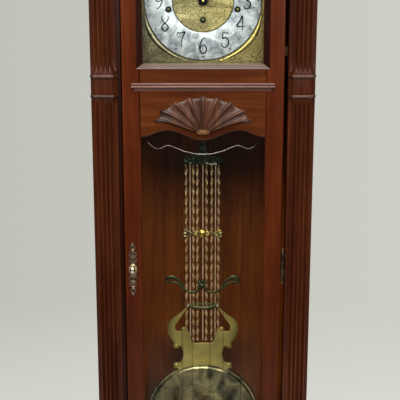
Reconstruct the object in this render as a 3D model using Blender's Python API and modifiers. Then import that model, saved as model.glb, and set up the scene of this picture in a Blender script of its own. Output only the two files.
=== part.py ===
"""Grandfather clock: a glazed longcase clock with a brass dial, three cable-hung
weights and a nine-rod lyre pendulum. Metres, +Z up, front towards -Y, origin on
the floor in the middle of the case."""

import math

import bmesh
import bpy
from mathutils import Matrix, Vector

# Driving dimensions of the case
CASE_BACK = 0.165            # flat back of the case
CASE_FRONT = -0.165          # front of the cornice and the plinth
CASE_TOP = 2.075             # top of the cornice
TOTAL_HEIGHT = 2.2           # tip of the finial
BASE_HALF = 0.28             # half width of the base
BASE_TOP = 0.34
BASE_FRONT = -0.15
WAIST_HALF = 0.246           # half width over the side panels
WAIST_BOTTOM = 0.376         # top face of the trunk floor
WAIST_TOP = 2.005
CORNICE_HALF = 0.31
PLINTH_HALF = 0.3
PLINTH_HEIGHT = 0.11
BOARD = 0.016                # thickness of the case's boards
BACK_BOARD = 0.008
GAP = 0.0003                 # clearance between neighbours that touch

# Driving dimensions of the door
DOOR_HALF = 0.18
DOOR_FRONT = -0.122
DOOR_BACK = -0.1
DOOR_BOTTOM = 0.388
DOOR_TOP = 2.002
OPENING_HALF = 0.14          # half width of both glazed openings
TRUNK_OPENING_BOTTOM = 0.428
RAIL_TOP = 1.553             # top of the middle rail, under the dial opening
HINGE_X = 0.1843
HINGE_Y = -0.1225
HINGE_HEIGHTS = {"top": 1.78, "middle": 1.1, "bottom": 0.56}
KNOB_X = -0.162
KNOB_Z = 1.096

# Driving dimensions of the dial and the movement
DIAL_Z = 1.7
DIAL_FRONT = -0.072
DIAL_HALF = 0.14
RING_RADIUS = 0.13
RING_INNER = 0.0695
PLATE_FRONT = -0.058         # front of the movement's front plate
PLATE_BACK = 0.015           # back of its back plate
SHEET = 0.003                # thickness of both plates
SEAT_TOP = 1.598
PIVOT_Z = 1.762              # suspension of the pendulum and arbor of the anchor
DRUM_RADIUS = 0.0171
CABLE_RADIUS = 0.0006
PULLEY_RADIUS = 0.022        # to the middle of the cable
WEIGHT_Y = -0.022
PULLEY_Z = 0.665
# each weight: the drum's x and z, and the side on which its cable leaves the drum
TRAINS = {"left": (-0.077, DIAL_Z - 0.019, -1),
          "centre": (0.0, DIAL_Z - 0.042, 1),
          "right": (0.077, DIAL_Z - 0.019, 1)}
ARBOR_HOLE = 0.0065          # winding hole's radius in the dial

# Driving dimensions of the pendulum
PENDULUM_Y = 0.048
BOB_RADIUS = 0.148
BOB_Z = 0.64
ROD_TOP = 1.307
ROD_BOTTOM = 0.857
ROD_X = (-0.0386, -0.031, -0.0245, -0.008, 0.0, 0.008, 0.0245, 0.031, 0.0386)
ROD_RADIUS = 0.003

# Colours: base colour, roughness and metallic value
FINISHES = {
    "cherry": ((0.12, 0.03, 0.012), 0.38, 0.0),
    "dark_cherry": ((0.075, 0.023, 0.012), 0.38, 0.0),
    "birch": ((0.35, 0.22, 0.12), 0.6, 0.0),
    "glass": ((0.9, 0.95, 0.95), 0.03, 0.0),
    "brass": ((0.72, 0.5, 0.2), 0.25, 1.0),
    "dial_brass": ((0.66, 0.52, 0.28), 0.35, 1.0),
    "silver": ((0.62, 0.61, 0.55), 0.35, 1.0),
    "black_steel": ((0.02, 0.02, 0.025), 0.35, 0.6),
    "steel": ((0.5, 0.5, 0.5), 0.35, 1.0),
}

WELD = 0.00001


def start_scene():
    """Empties the scene and makes the collections for the clock and its cutters."""
    for old in list(bpy.data.objects):
        bpy.data.objects.remove(old, do_unlink=True)
    for name in ("grandfather_clock", "cutters"):
        group = bpy.data.collections.new(name)
        bpy.context.scene.collection.children.link(group)


def finish_of(name, node):
    """Gives a node its own Principled material from the table of finishes."""
    colour, roughness, metallic = FINISHES[name]
    material = bpy.data.materials.new(node + "_" + name)
    material.use_nodes = True
    shader = material.node_tree.nodes["Principled BSDF"]
    shader.inputs["Base Color"].default_value = (*colour, 1)
    shader.inputs["Roughness"].default_value = roughness
    shader.inputs["Metallic"].default_value = metallic
    if name == "glass":
        shader.inputs["Transmission Weight"].default_value = 1
    return material


def add_part(name, data, finish):
    """Links a new object to the clock's collection and gives it its finish."""
    part = bpy.data.objects.new(name, data)
    bpy.data.collections["grandfather_clock"].objects.link(part)
    data.materials.append(finish_of(finish, name))
    return part


def block(name, low, high, finish):
    """A box between two corners."""
    shape = bmesh.new()
    bmesh.ops.create_cube(shape, size=1)
    size = [b - a for a, b in zip(low, high)]
    middle = [(a + b) / 2 for a, b in zip(low, high)]
    bmesh.ops.scale(shape, vec=size, verts=shape.verts)
    bmesh.ops.translate(shape, vec=middle, verts=shape.verts)
    mesh = bpy.data.meshes.new(name)
    shape.to_mesh(mesh)
    shape.free()
    return add_part(name, mesh, finish)


def rod(name, start, end, radius, finish, sides=8):
    """A round bar between two points."""
    start = Vector(start)
    run = Vector(end) - start
    turn = run.to_track_quat("Z", "Y").to_matrix().to_4x4()
    place = Matrix.Translation(start + run / 2) @ turn
    shape = bmesh.new()
    bmesh.ops.create_cone(shape, cap_ends=True, segments=sides, radius1=radius,
                          radius2=radius, depth=run.length, matrix=place)
    mesh = bpy.data.meshes.new(name)
    shape.to_mesh(mesh)
    shape.free()
    part = add_part(name, mesh, finish)
    soften(part)
    return part


def soften(part):
    """Shades round faces smooth and keeps the corners sharp."""
    part.data.shade_smooth()
    part.data.set_sharp_from_angle(angle=math.radians(35))


def as_mesh(part):
    """Replaces a curve or a modified object by its welded mesh."""
    bpy.context.view_layer.update()
    graph = bpy.context.evaluated_depsgraph_get()
    mesh = bpy.data.meshes.new_from_object(part.evaluated_get(graph))
    shape = bmesh.new()
    shape.from_mesh(mesh)
    bmesh.ops.remove_doubles(shape, verts=shape.verts, dist=WELD)
    shape.to_mesh(mesh)
    shape.free()
    name = part.name
    place = part.matrix_world.copy()
    home = part.users_collection[0]
    bpy.data.objects.remove(part, do_unlink=True)
    solid = bpy.data.objects.new(name, mesh)
    solid.matrix_world = place
    home.objects.link(solid)
    return solid


def board(name, outlines, front, back, finish):
    """A flat part: outlines in X and Z, the first outside and the rest holes."""
    curve = bpy.data.curves.new(name, "CURVE")
    curve.dimensions = "2D"
    curve.fill_mode = "BOTH"
    curve.extrude = (back - front) / 2
    for outline in outlines:
        spline = curve.splines.new("POLY")
        spline.points.add(len(outline) - 1)
        for point, (x, z) in zip(spline.points, outline):
            point.co = (x, z, 0, 1)
        spline.use_cyclic_u = True
    part = add_part(name, curve, finish)
    part.location = (0, (front + back) / 2, 0)
    part.rotation_euler = (math.pi / 2, 0, 0)
    return as_mesh(part)


def turned(name, profile, at, finish, along="Z", steps=16):
    """A turned part. The profile's (radius, height) points run down its outer side;
    along Y its height points to the front."""
    mesh = bpy.data.meshes.new(name)
    edges = [(i, i + 1) for i in range(len(profile) - 1)]
    if profile[0][0] > 0 and profile[0] != profile[-1]:
        edges.append((len(profile) - 1, 0))
    mesh.from_pydata([(radius, 0, height) for radius, height in profile], edges, [])
    part = add_part(name, mesh, finish)
    screw = part.modifiers.new("Turning", "SCREW")
    screw.axis = "Z"
    screw.steps = steps
    screw.render_steps = steps
    screw.use_merge_vertices = True
    screw.merge_threshold = WELD
    screw.use_smooth_shade = True
    part.location = at
    if along == "Y":
        part.rotation_euler = (math.pi / 2, 0, 0)
    return part


def combine(part, others, operation):
    """Joins other shapes to a part, or cuts them out of it, with Booleans."""
    for other in others:
        bpy.data.collections["cutters"].objects.link(other)
        bpy.data.collections["grandfather_clock"].objects.unlink(other)
        other.hide_render = True
        other.display_type = "WIRE"
        boolean = part.modifiers.new(operation.title(), "BOOLEAN")
        boolean.operation = operation
        boolean.object = other
    return part


def unite(part, *others):
    return combine(part, others, "UNION")


def cut(part, *others):
    return combine(part, others, "DIFFERENCE")


def pivot(name, at, parts, parent=None):
    """Parents parts to an empty that stands on their joint's axis."""
    empty = bpy.data.objects.new(name, None)
    bpy.data.collections["grandfather_clock"].objects.link(empty)
    home = Vector(parent.location) if parent else Vector((0, 0, 0))
    empty.location = Vector(at) - home
    if parent:
        empty.parent = parent
    for part in parts:
        for modifier in part.modifiers:
            if modifier.type == "BOOLEAN" and modifier.object.parent is None:
                hold(modifier.object, empty, at)
        hold(part, empty, at)
    return empty


def hold(part, empty, at):
    part.parent = empty
    part.matrix_parent_inverse = Matrix.Translation(Vector(at)).inverted()


def circle(x, z, radius, count=24):
    step = 2 * math.pi / count
    return [(x + radius * math.cos(i * step), z + radius * math.sin(i * step)) for i in range(count)]


def arc(x, z, radius, start, end, count):
    """Points along an arc, in degrees from +X towards +Z."""
    angles = [math.radians(start + (end - start) * i / count) for i in range(count + 1)]
    return [(x + radius * math.cos(a), z + radius * math.sin(a)) for a in angles]


def mirrored(half):
    """Closes an outline whose points at +X run from the bottom to the top."""
    other = [(-x, z) for x, z in reversed(half) if x > 0]
    return half + other


def stepped_slab(name, levels, back, finish):
    """A board whose front and ends step in and out as it rises, with mitred corners.
    Each level is (height, half width, front)."""
    shape = bmesh.new()
    bmesh.ops.create_cube(shape, size=2)
    for vert in shape.verts:
        height, half, front = levels[0] if vert.co.z < 0 else levels[1]
        vert.co = (half * vert.co.x, front if vert.co.y < 0 else back, height)
    shape.normal_update()
    top = max(shape.faces, key=lambda face: face.calc_center_median().z)
    for height, half, front in levels[2:]:
        made = bmesh.ops.extrude_face_region(shape, geom=[top])["geom"]
        bmesh.ops.delete(shape, geom=[top], context="FACES_ONLY")
        top = next(item for item in made if isinstance(item, bmesh.types.BMFace))
        middle = top.calc_center_median().y
        for vert in top.verts:
            side = 1 if vert.co.x > 0 else -1
            vert.co = (side * half, front if vert.co.y < middle else back, height)
    mesh = bpy.data.meshes.new(name)
    shape.to_mesh(mesh)
    shape.free()
    return add_part(name, mesh, finish)


def make_case():
    inside = CASE_BACK - BACK_BOARD - GAP
    shoulder = BASE_TOP - 0.002
    outline = mirrored([(BASE_HALF, 0.02), (BASE_HALF, shoulder), (WAIST_HALF, shoulder),
                        (WAIST_HALF, WAIST_TOP - GAP)])
    board("back_panel", [outline], CASE_BACK - BACK_BOARD, CASE_BACK, "birch")

    # the trunk floor carries the waist moulding on its front and ends
    stepped_slab("trunk_floor", [(BASE_TOP, 0.29, -0.16), (BASE_TOP + 0.01, 0.29, -0.16),
                                 (BASE_TOP + 0.012, 0.285, -0.156), (BASE_TOP + 0.019, 0.271, -0.148),
                                 (BASE_TOP + 0.027, 0.261, -0.142), (BASE_TOP + 0.029, 0.257, -0.14),
                                 (WAIST_BOTTOM, 0.257, -0.14)], inside, "cherry")
    stepped_slab("cornice", [(WAIST_TOP, 0.256, -0.14), (WAIST_TOP + 0.01, 0.256, -0.14),
                             (WAIST_TOP + 0.012, 0.26, -0.142), (WAIST_TOP + 0.024, 0.266, -0.145),
                             (WAIST_TOP + 0.038, 0.28, -0.151), (WAIST_TOP + 0.047, 0.298, -0.159),
                             (WAIST_TOP + 0.05, CORNICE_HALF - 0.006, CASE_FRONT + 0.003),
                             (WAIST_TOP + 0.058, CORNICE_HALF, CASE_FRONT),
                             (CASE_TOP - 0.003, CORNICE_HALF, CASE_FRONT),
                             (CASE_TOP, CORNICE_HALF - 0.003, CASE_FRONT + 0.003)], CASE_BACK, "cherry")

    floor = WAIST_BOTTOM + GAP
    ceiling = WAIST_TOP - GAP
    for side, name in ((-1, "left"), (1, "right")):
        wall = sorted((side * (WAIST_HALF - BOARD), side * WAIST_HALF))
        block("side_panel_" + name, (wall[0], -0.096 + GAP, floor), (wall[1], inside, ceiling), "cherry")
        base = sorted((side * (BASE_HALF - BOARD), side * BASE_HALF))
        block("base_side_" + name, (base[0], BASE_FRONT + BOARD + GAP, 0.02),
              (base[1], inside, BASE_TOP - GAP), "cherry")
    block("base_front_panel", (-BASE_HALF, BASE_FRONT, 0.02),
          (BASE_HALF, BASE_FRONT + BOARD, BASE_TOP - GAP), "cherry")

    # the strips beside the door, and the pilasters planted on them
    for name, inner, outer in (("left", -0.1815, -WAIST_HALF), ("right", 0.1885, WAIST_HALF)):
        low, high = sorted((inner, outer))
        block("face_frame_" + name, (low, -0.116, floor), (high, -0.096, ceiling), "dark_cherry")
    for side, name in ((-1, "left"), (1, "right")):
        make_pilaster("pilaster_" + name, side, floor, ceiling)
    make_plinth()
    make_pediment()


def make_pilaster(name, side, floor, ceiling):
    """A pilaster with a flat face between two canted sides."""
    front, back = -0.134, -0.1163
    section = [(0.19, back), (0.249, back), (0.249, back - 0.002), (0.2385, front), (0.1995, front),
               (0.19, back - 0.002)]
    shape = bmesh.new()
    corners = [shape.verts.new((side * x, y, floor)) for x, y in section]
    foot = shape.faces.new(corners)
    made = bmesh.ops.extrude_face_region(shape, geom=[foot], use_keep_orig=True)["geom"]
    rise = [item for item in made if isinstance(item, bmesh.types.BMVert)]
    bmesh.ops.translate(shape, vec=(0, 0, ceiling - floor), verts=rise)
    bmesh.ops.recalc_face_normals(shape, faces=shape.faces)
    mesh = bpy.data.meshes.new(name)
    shape.to_mesh(mesh)
    shape.free()
    add_part(name, mesh, "dark_cherry")


def make_plinth():
    """The U-shaped foot of the case, cut away between its bracket feet."""
    plinth = stepped_slab("plinth", [(0, PLINTH_HALF, CASE_FRONT),
                                     (PLINTH_HEIGHT - 0.014, PLINTH_HALF, CASE_FRONT),
                                     (PLINTH_HEIGHT - 0.008, PLINTH_HALF - 0.005, CASE_FRONT + 0.005),
                                     (PLINTH_HEIGHT, PLINTH_HALF - 0.014, CASE_FRONT + 0.01)],
                          CASE_BACK, "cherry")
    room = block("plinth_room", (-BASE_HALF - GAP, BASE_FRONT - GAP, -0.01),
                 (BASE_HALF + GAP, CASE_BACK + 0.01, PLINTH_HEIGHT + 0.01), "cherry")
    arch = mirrored([(0.215, -0.01), (0.2, 0.02), (0.186, 0.036), (0.166, 0.045), (0.15, 0.05)])
    front = board("plinth_front_gap", [arch], CASE_FRONT - 0.01, BASE_FRONT + 0.005, "cherry")
    sides = block("plinth_side_gap", (-0.4, -0.095, -0.01), (0.4, 0.095, 0.05), "cherry")
    cut(plinth, room, front, sides)


def make_pediment():
    """Two swan-neck boards that rise to scrolls beside a turned finial."""
    steps = 8
    rise = [(0.3 - 0.235 * i / steps, 2.087 + 0.085 * smooth(i / steps)) for i in range(steps)]
    scroll = arc(0.065, 2.15, 0.022, 90, 250, 8)
    outline = [(0.09, CASE_TOP + GAP), (0.3, CASE_TOP + GAP)] + rise + scroll + [(0.078, 2.112)]
    for side, name in ((-1, "left"), (1, "right")):
        shape = [(side * x, z) for x, z in outline]
        board("pediment_" + name, [shape], -0.15, -0.128, "cherry")
    profile = [(0, TOTAL_HEIGHT), (0.003, 2.197), (0.0055, 2.188), (0.0075, 2.178), (0.006, 2.171),
               (0.014, 2.163), (0.0185, 2.151), (0.017, 2.14), (0.009, 2.129), (0.008, 2.121),
               (0.014, 2.117), (0.022, 2.112), (0.024, 2.106), (0.024, CASE_TOP + GAP),
               (0, CASE_TOP + GAP)]
    turned("finial", profile, (0, -0.139, 0), "cherry", steps=16)


def smooth(t):
    return t * t * (3 - 2 * t)


def serpentine(x):
    """Height of the middle rail's lower edge at a distance x from the middle."""
    if x <= 0.08:
        return 1.393 + 0.0225 * smooth(x / 0.08)
    return 1.4155 - 0.0155 * smooth((x - 0.08) / 0.06)


def make_door():
    parts = []
    stile_gap = OPENING_HALF - GAP
    for side, name in ((-1, "left"), (1, "right")):
        low, high = sorted((side * OPENING_HALF, side * DOOR_HALF))
        stile = block("door_stile_" + name, (low, DOOR_FRONT, DOOR_BOTTOM),
                      (high, DOOR_BACK, DOOR_TOP), "cherry")
        parts.append(stile)
        if side < 0:
            cut(stile, rod("knob_bore", (KNOB_X, DOOR_FRONT - 0.01, KNOB_Z),
                           (KNOB_X, DOOR_BACK + 0.01, KNOB_Z), 0.0052, "cherry"))
    parts.append(block("door_bottom_rail", (-stile_gap, DOOR_FRONT, DOOR_BOTTOM),
                       (stile_gap, DOOR_BACK, TRUNK_OPENING_BOTTOM), "cherry"))

    # the middle rail's lower edge is serpentine
    count = 14
    edge = [(stile_gap * i / count, serpentine(stile_gap * i / count)) for i in range(count + 1)]
    outline = mirrored(edge + [(stile_gap, RAIL_TOP)])
    parts.append(board("door_mid_rail", [outline], DOOR_FRONT, DOOR_BACK, "cherry"))

    # the top rail follows the dial's arch
    spring = DIAL_Z + DIAL_HALF - 0.003
    arch = arc(0, spring, 0.108, 90, 0, 12)
    outline = mirrored(arch + [(stile_gap, spring), (stile_gap, DOOR_TOP)])
    parts.append(board("door_top_rail", [outline], DOOR_FRONT, DOOR_BACK, "cherry"))

    # the panes lie behind the frame
    pane_front, pane_back = DOOR_BACK + GAP, DOOR_BACK + GAP + 0.003
    parts.append(block("dial_glass", (-0.15, pane_front, RAIL_TOP - 0.01),
                       (0.15, pane_back, 1.96), "glass"))
    parts.append(block("trunk_glass", (-0.15, pane_front, TRUNK_OPENING_BOTTOM - 0.01),
                       (0.15, pane_back, 1.43), "glass"))

    planted = DOOR_FRONT - GAP
    parts.append(stepped_bar("door_mid_moulding", 0.16, 1.505, 1.523, planted, 0.008))
    parts.append(block("dial_sill", (-stile_gap, DOOR_FRONT + 0.002, RAIL_TOP + GAP),
                       (stile_gap, DOOR_BACK, RAIL_TOP + 0.011), "cherry"))
    parts.append(make_shell(planted))
    escutcheon = board("escutcheon", [escutcheon_outline(), circle(KNOB_X, KNOB_Z, 0.0052, 16)],
                       planted - 0.0015, planted, "brass")
    parts.append(escutcheon)
    knob = make_knob()
    for name, height in HINGE_HEIGHTS.items():
        make_case_leaf("hinge_case_leaf_" + name, height)
        parts.append(make_door_leaf("hinge_door_leaf_" + name, height))
    swing = pivot("door_pivot", (HINGE_X, HINGE_Y, 0), parts)
    pivot("knob_pivot", (KNOB_X, DOOR_FRONT, KNOB_Z), [knob], swing)


def stepped_bar(name, half, low, high, back, depth):
    """A planted bar with mitred ends, drawn in towards its front."""
    bar = block(name, (-half, back - depth, low), (half, back, high), "cherry")
    for vert in bar.data.vertices:
        if vert.co.y < back - depth / 2:
            vert.co.x -= math.copysign(depth, vert.co.x)
            vert.co.z -= math.copysign(0.002, vert.co.z - (low + high) / 2)
    return bar


def make_shell(back):
    """A scallop fan with nine lobes round a low boss."""
    lobes = 9
    centre_x, centre_z, half, height = 0, 1.434, 0.105, 0.054
    rim = []
    for lobe in range(lobes):
        for step in range(4):
            share = (lobe + step / 4) / lobes
            angle = math.pi * share
            swell = 1 + 0.045 * math.sin(math.pi * step / 4)
            rim.append((centre_x + half * math.cos(angle) * swell, centre_z + height * math.sin(angle) * swell))
    rim.append((-half, centre_z))
    lower = [(-0.1, 1.4215), (-0.082, 1.4195), (-0.06, 1.415), (-0.035, 1.409), (0, 1.407),
             (0.035, 1.409), (0.06, 1.415), (0.082, 1.4195), (0.1, 1.4215)]
    return board("shell_carving", [rim + lower], back - 0.007, back, "cherry")


def escutcheon_outline():
    """A slim plate with a waist and a round lobe at each end."""
    half_height, count = 0.063, 16
    right = []
    for i in range(count + 1):
        t = i / count * 2 - 1
        width = 0.0098 - 0.0028 * math.cos(math.pi * 4 * t) * (1 - t * t) - 0.0038 * t * t
        right.append((KNOB_X + width, KNOB_Z - 0.003 + half_height * t))
    left = [(2 * KNOB_X - x, z) for x, z in reversed(right)]
    return right + left


def make_knob():
    """The knob with its spindle, and the cam that turns behind the case's strip."""
    profile = [(0, 0.024), (0.005, 0.0235), (0.0085, 0.02), (0.009, 0.0165), (0.006, 0.0125),
               (0.0045, 0.009), (0.0075, 0.005), (0.008, 0.0026), (0.0045, 0.0025), (0.0045, -0.0290),
               (0, -0.0290)]
    knob = turned("door_knob", profile, (KNOB_X, DOOR_FRONT, KNOB_Z), "brass", along="Y", steps=16)
    cam = block("cam", (KNOB_X - 0.006, -0.0955, KNOB_Z - 0.03),
                (KNOB_X + 0.006, -0.0925, KNOB_Z + 0.006), "brass")
    return unite(knob, cam)


def make_case_leaf(name, height):
    """The case's half of a hinge: a leaf, two knuckles and the pin."""
    leaf = block(name, (HINGE_X + 0.0025, HINGE_Y + 0.004, height - 0.03),
                 (HINGE_X + 0.0039, -0.1, height + 0.03), "brass")
    extras = []
    for low in (height - 0.03, height + 0.01 + GAP):
        high = low + 0.02 - GAP
        extras.append(block(name + "_tab", (HINGE_X + 0.0015, HINGE_Y, low),
                            (HINGE_X + 0.0039, HINGE_Y + 0.005, high), "brass"))
        extras.append(rod(name + "_knuckle", (HINGE_X, HINGE_Y, low), (HINGE_X, HINGE_Y, high),
                          0.0032, "brass"))
    extras.append(rod(name + "_pin", (HINGE_X, HINGE_Y, height - 0.034),
                      (HINGE_X, HINGE_Y, height + 0.034), 0.0014, "brass"))
    return unite(leaf, *extras)


def make_door_leaf(name, height):
    """The door's half of a hinge: a leaf and the middle knuckle, bored for the pin."""
    half = 0.01 - GAP
    leaf = block(name, (DOOR_HALF + GAP, HINGE_Y + 0.004, height - 0.03),
                 (DOOR_HALF + 0.0018, -0.1, height + 0.03), "brass")
    tab = block(name + "_tab", (DOOR_HALF + GAP, HINGE_Y, height - half),
                (DOOR_HALF + 0.0028, HINGE_Y + 0.005, height + half), "brass")
    knuckle = rod(name + "_knuckle", (HINGE_X, HINGE_Y, height - half),
                  (HINGE_X, HINGE_Y, height + half), 0.0032, "brass")
    bore = rod(name + "_bore", (HINGE_X, HINGE_Y, height - 0.02),
               (HINGE_X, HINGE_Y, height + 0.02), 0.0018, "brass")
    unite(leaf, tab, knuckle)
    return cut(leaf, bore)


def make_dial():
    """The brass plate with its arch, the silvered ring and the two hands."""
    half = DIAL_HALF
    arch = arc(0, DIAL_Z + half, 0.113, 0, 180, 24)
    outline = [(-half, DIAL_Z - half), (half, DIAL_Z - half), (half, DIAL_Z + half)] + arch
    outline.append((-half, DIAL_Z + half))
    holes = [circle(x, z, ARBOR_HOLE, 16) for x, z, side in TRAINS.values()]
    holes.append(circle(0, DIAL_Z, 0.0065, 16))
    board("dial_plate", [outline] + holes, DIAL_FRONT, DIAL_FRONT + 0.002, "dial_brass")
    ring_holes = [circle(x, z, ARBOR_HOLE, 16) for x, z, side in TRAINS.values() if x != 0]
    board("chapter_ring", [circle(0, DIAL_Z, RING_RADIUS, 48), circle(0, DIAL_Z, RING_INNER, 40)]
          + ring_holes, DIAL_FRONT - 0.002 - GAP, DIAL_FRONT - GAP, "silver")

    hour = board("hour_hand", [turn_points(hand_outline(0.074, 0.007), 305),
                               circle(0, DIAL_Z, 0.0034, 12)], -0.0792, -0.078, "black_steel")
    pipe_profile = [(0.005, 0.0782), (0.005, 0.062), (0.0034, 0.062), (0.0034, 0.0782)]
    pipe = turned("hour_pipe", pipe_profile, (0, 0, DIAL_Z), "black_steel", along="Y", steps=12)
    unite(hour, pipe)
    minute = board("minute_hand", [turn_points(hand_outline(0.112, 0.005), 60)],
                   -0.0832, -0.082, "black_steel")
    arbor = rod("minute_arbor", (0, -0.0845, DIAL_Z), (0, PLATE_BACK - 0.001, DIAL_Z),
                0.0024, "black_steel")
    boss = rod("minute_boss", (0, -0.0848, DIAL_Z), (0, -0.0819, DIAL_Z), 0.0055, "black_steel", 16)
    unite(minute, arbor, boss)
    pivot("hour_pivot", (0, -0.078, DIAL_Z), [hour])
    pivot("minute_pivot", (0, -0.082, DIAL_Z), [minute])


def hand_outline(length, width):
    """A pierced-style hand, pointing up from the dial's centre."""
    half = [(0, -0.012), (0.0065, -0.008), (0.0075, 0), (0.005, 0.0075), (0.0022, 0.014),
            (0.0025, length * 0.45), (width, length * 0.56), (width * 1.15, length * 0.64),
            (width * 0.45, length * 0.76), (0.0014, length * 0.8), (0, length)]
    return mirrored(half)


def turn_points(outline, degrees):
    """Turns an outline clockwise round the dial's centre."""
    angle = math.radians(-degrees)
    cosine, sine = math.cos(angle), math.sin(angle)
    return [(x * cosine - z * sine, DIAL_Z + x * sine + z * cosine) for x, z in outline]


def make_movement():
    """The seat board, the plates with their pillars, the drums, the escape wheel and the anchor."""
    seat_front, seat_back = -0.062, 0.035
    seat_half = WAIST_HALF - BOARD - GAP
    seat = block("seat_board", (-seat_half, seat_front, SEAT_TOP - 0.02),
                 (seat_half, seat_back, SEAT_TOP), "birch")
    slots = []
    for name, (x, z, side) in TRAINS.items():
        middle = pulley_x(name)
        slots.append(block("seat_slot", (middle - 0.027, WEIGHT_Y - 0.006, SEAT_TOP - 0.03),
                           (middle + 0.027, WEIGHT_Y + 0.006, SEAT_TOP + 0.01), "birch"))
    cut(seat, *slots)

    low, high = SEAT_TOP + GAP, 1.79
    frame = block("movement_frame", (-0.118, PLATE_FRONT, low), (0.118, PLATE_FRONT + SHEET, high),
                  "brass")
    extras = [block("back_plate", (-0.118, PLATE_BACK - SHEET, low), (0.118, PLATE_BACK, high), "brass")]
    for x in (-0.108, 0.108):
        for z in (low + 0.01, high - 0.01):
            extras.append(rod("pillar", (x, DIAL_FRONT + 0.002 + GAP, z), (x, PLATE_BACK - 0.001, z),
                              0.004, "brass"))
    # posts that hold the fixed ends of the cables
    for name, (x, z, side) in TRAINS.items():
        post_z = z + 0.003 + CABLE_RADIUS
        extras.append(rod("cable_post", (post_x(name), WEIGHT_Y - 0.006, post_z),
                          (post_x(name), PLATE_BACK - 0.001, post_z), 0.003, "brass"))
    extras.append(block("suspension_cock", (-0.012, PLATE_BACK - 0.001, PIVOT_Z + 0.0085),
                        (0.012, PENDULUM_Y + 0.005, PIVOT_Z + 0.0145), "brass"))
    for side in (-1, 1):
        inner, outer = sorted((side * 0.056, side * 0.059))
        extras.append(block("hammer_bracket", (inner, PLATE_BACK - 0.001, 1.69),
                            (outer, 0.084, 1.71), "brass"))
    unite(frame, *extras)
    bores = []
    for x, z, side in TRAINS.values():
        bores.append(rod("drum_bore", (x, -0.07, z), (x, 0.03, z), 0.0046, "brass"))
    bores.append(rod("centre_bore", (0, -0.07, DIAL_Z), (0, 0.03, DIAL_Z), 0.0054, "brass"))
    bores.append(rod("anchor_bore", (0, -0.07, PIVOT_Z), (0, 0.03, PIVOT_Z), 0.0026, "brass"))
    bores.append(rod("escape_bore", (0, -0.07, 1.735), (0, 0.03, 1.735), 0.0021, "brass"))
    bores.append(rod("hammer_bore", (-0.07, 0.076, 1.7), (0.07, 0.076, 1.7), 0.0037, "brass"))
    cut(frame, *bores)

    for name in TRAINS:
        make_drum(name)
    make_escapement()
    make_strike()


def post_x(name):
    """Where a cable's fixed end hangs, beyond the drum's flange."""
    x, z, side = TRAINS[name]
    return x - side * 0.0262


def cable_x(name):
    """Where a cable leaves its drum."""
    x, z, side = TRAINS[name]
    return x + side * (DRUM_RADIUS + CABLE_RADIUS + GAP)


def pulley_x(name):
    return (post_x(name) + cable_x(name)) / 2


def make_drum(name):
    """A winding drum with its great wheel and its arbor."""
    x, z, side = TRAINS[name]
    # heights are measured forward of the drum's middle
    profile = [(0, 0.0505), (0.0032, 0.0505), (0.004, 0.0495), (0.004, 0.0275), (0.0335, 0.0275),
               (0.0335, 0.0245), (0.0215, 0.0243), (0.0215, 0.0225), (DRUM_RADIUS, 0.0225),
               (DRUM_RADIUS, -0.0205), (0.0215, -0.0205), (0.0215, -0.0225), (0.004, -0.0225),
               (0.004, -0.036), (0, -0.036)]
    drum = turned("winding_drum_" + name, profile, (x, WEIGHT_Y, z), "brass", along="Y")
    pivot("drum_pivot_" + name, (x, WEIGHT_Y, z), [drum])


def make_escapement():
    """The escape wheel, and the anchor with the crutch that follows the pendulum."""
    teeth = 30
    rim = []
    for tooth in range(teeth):
        angle = 2 * math.pi * tooth / teeth
        for turn, radius in ((0, 0.016), (0.7, 0.0138)):
            a = angle + turn * 2 * math.pi / teeth
            rim.append((radius * math.cos(a), 1.735 + radius * math.sin(a)))
    wheel = board("escape_wheel", [rim], -0.032, -0.0305, "brass")
    arbor = rod("escape_arbor", (0, PLATE_FRONT, 1.735), (0, PLATE_BACK, 1.735), 0.0015, "brass")
    unite(wheel, arbor)
    pivot("escape_pivot", (0, -0.031, 1.735), [wheel])

    half = [(0.004, 1.7572), (0.0132, 1.7478), (0.017, 1.749), (0.0055, 1.7665)]
    anchor = board("pallet_anchor", [mirrored(half)], -0.032, -0.0305, "steel")
    arbor = rod("anchor_arbor", (0, PLATE_FRONT, PIVOT_Z), (0, 0.0395, PIVOT_Z), 0.002, "steel")
    crutch = block("crutch", (-0.003, 0.0365, 1.617), (0.003, 0.039, PIVOT_Z + 0.004), "steel")
    yoke = block("crutch_yoke", (-0.0095, 0.036, 1.613), (0.0095, 0.0393, 1.622), "steel")
    prongs = [block("crutch_prong", (side * 0.007 - 0.0015, 0.038, 1.6145),
                    (side * 0.007 + 0.0015, 0.0525, 1.6195), "steel") for side in (-1, 1)]
    unite(anchor, arbor, crutch, yoke, *prongs)
    pivot("anchor_pivot", (0, -0.031, PIVOT_Z), [anchor])


def make_strike():
    """The chime rods on their block, and the hammers on one arbor."""
    rods_y = 0.13
    rods = block("chime_rods", (-0.052, 0.118, 1.84), (0.052, CASE_BACK - BACK_BOARD - GAP, 1.9),
                 "steel")
    hanging = []
    for i in range(8):
        x = -0.042 + 0.012 * i
        hanging.append(rod("chime_rod", (x, rods_y, 1.5 + 0.012 * i), (x, rods_y, 1.841), 0.002,
                           "steel", 8))
    unite(rods, *hanging)

    axle_y, axle_z = 0.076, 1.7
    hammers = rod("strike_hammers", (-0.0595, axle_y, axle_z), (0.0595, axle_y, axle_z), 0.003, "steel")
    extras = []
    for i in range(4):
        x = -0.036 + 0.024 * i
        extras.append(block("hammer_arm", (x - 0.0015, axle_y - 0.0015, axle_z),
                            (x + 0.0015, axle_y + 0.0015, 1.793), "steel"))
        extras.append(block("hammer_head", (x - 0.0045, axle_y - 0.003, 1.79),
                            (x + 0.0045, 0.1215, 1.799), "brass"))
    unite(hammers, *extras)
    pivot("hammer_pivot", (0, axle_y, axle_z), [hammers])


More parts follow.
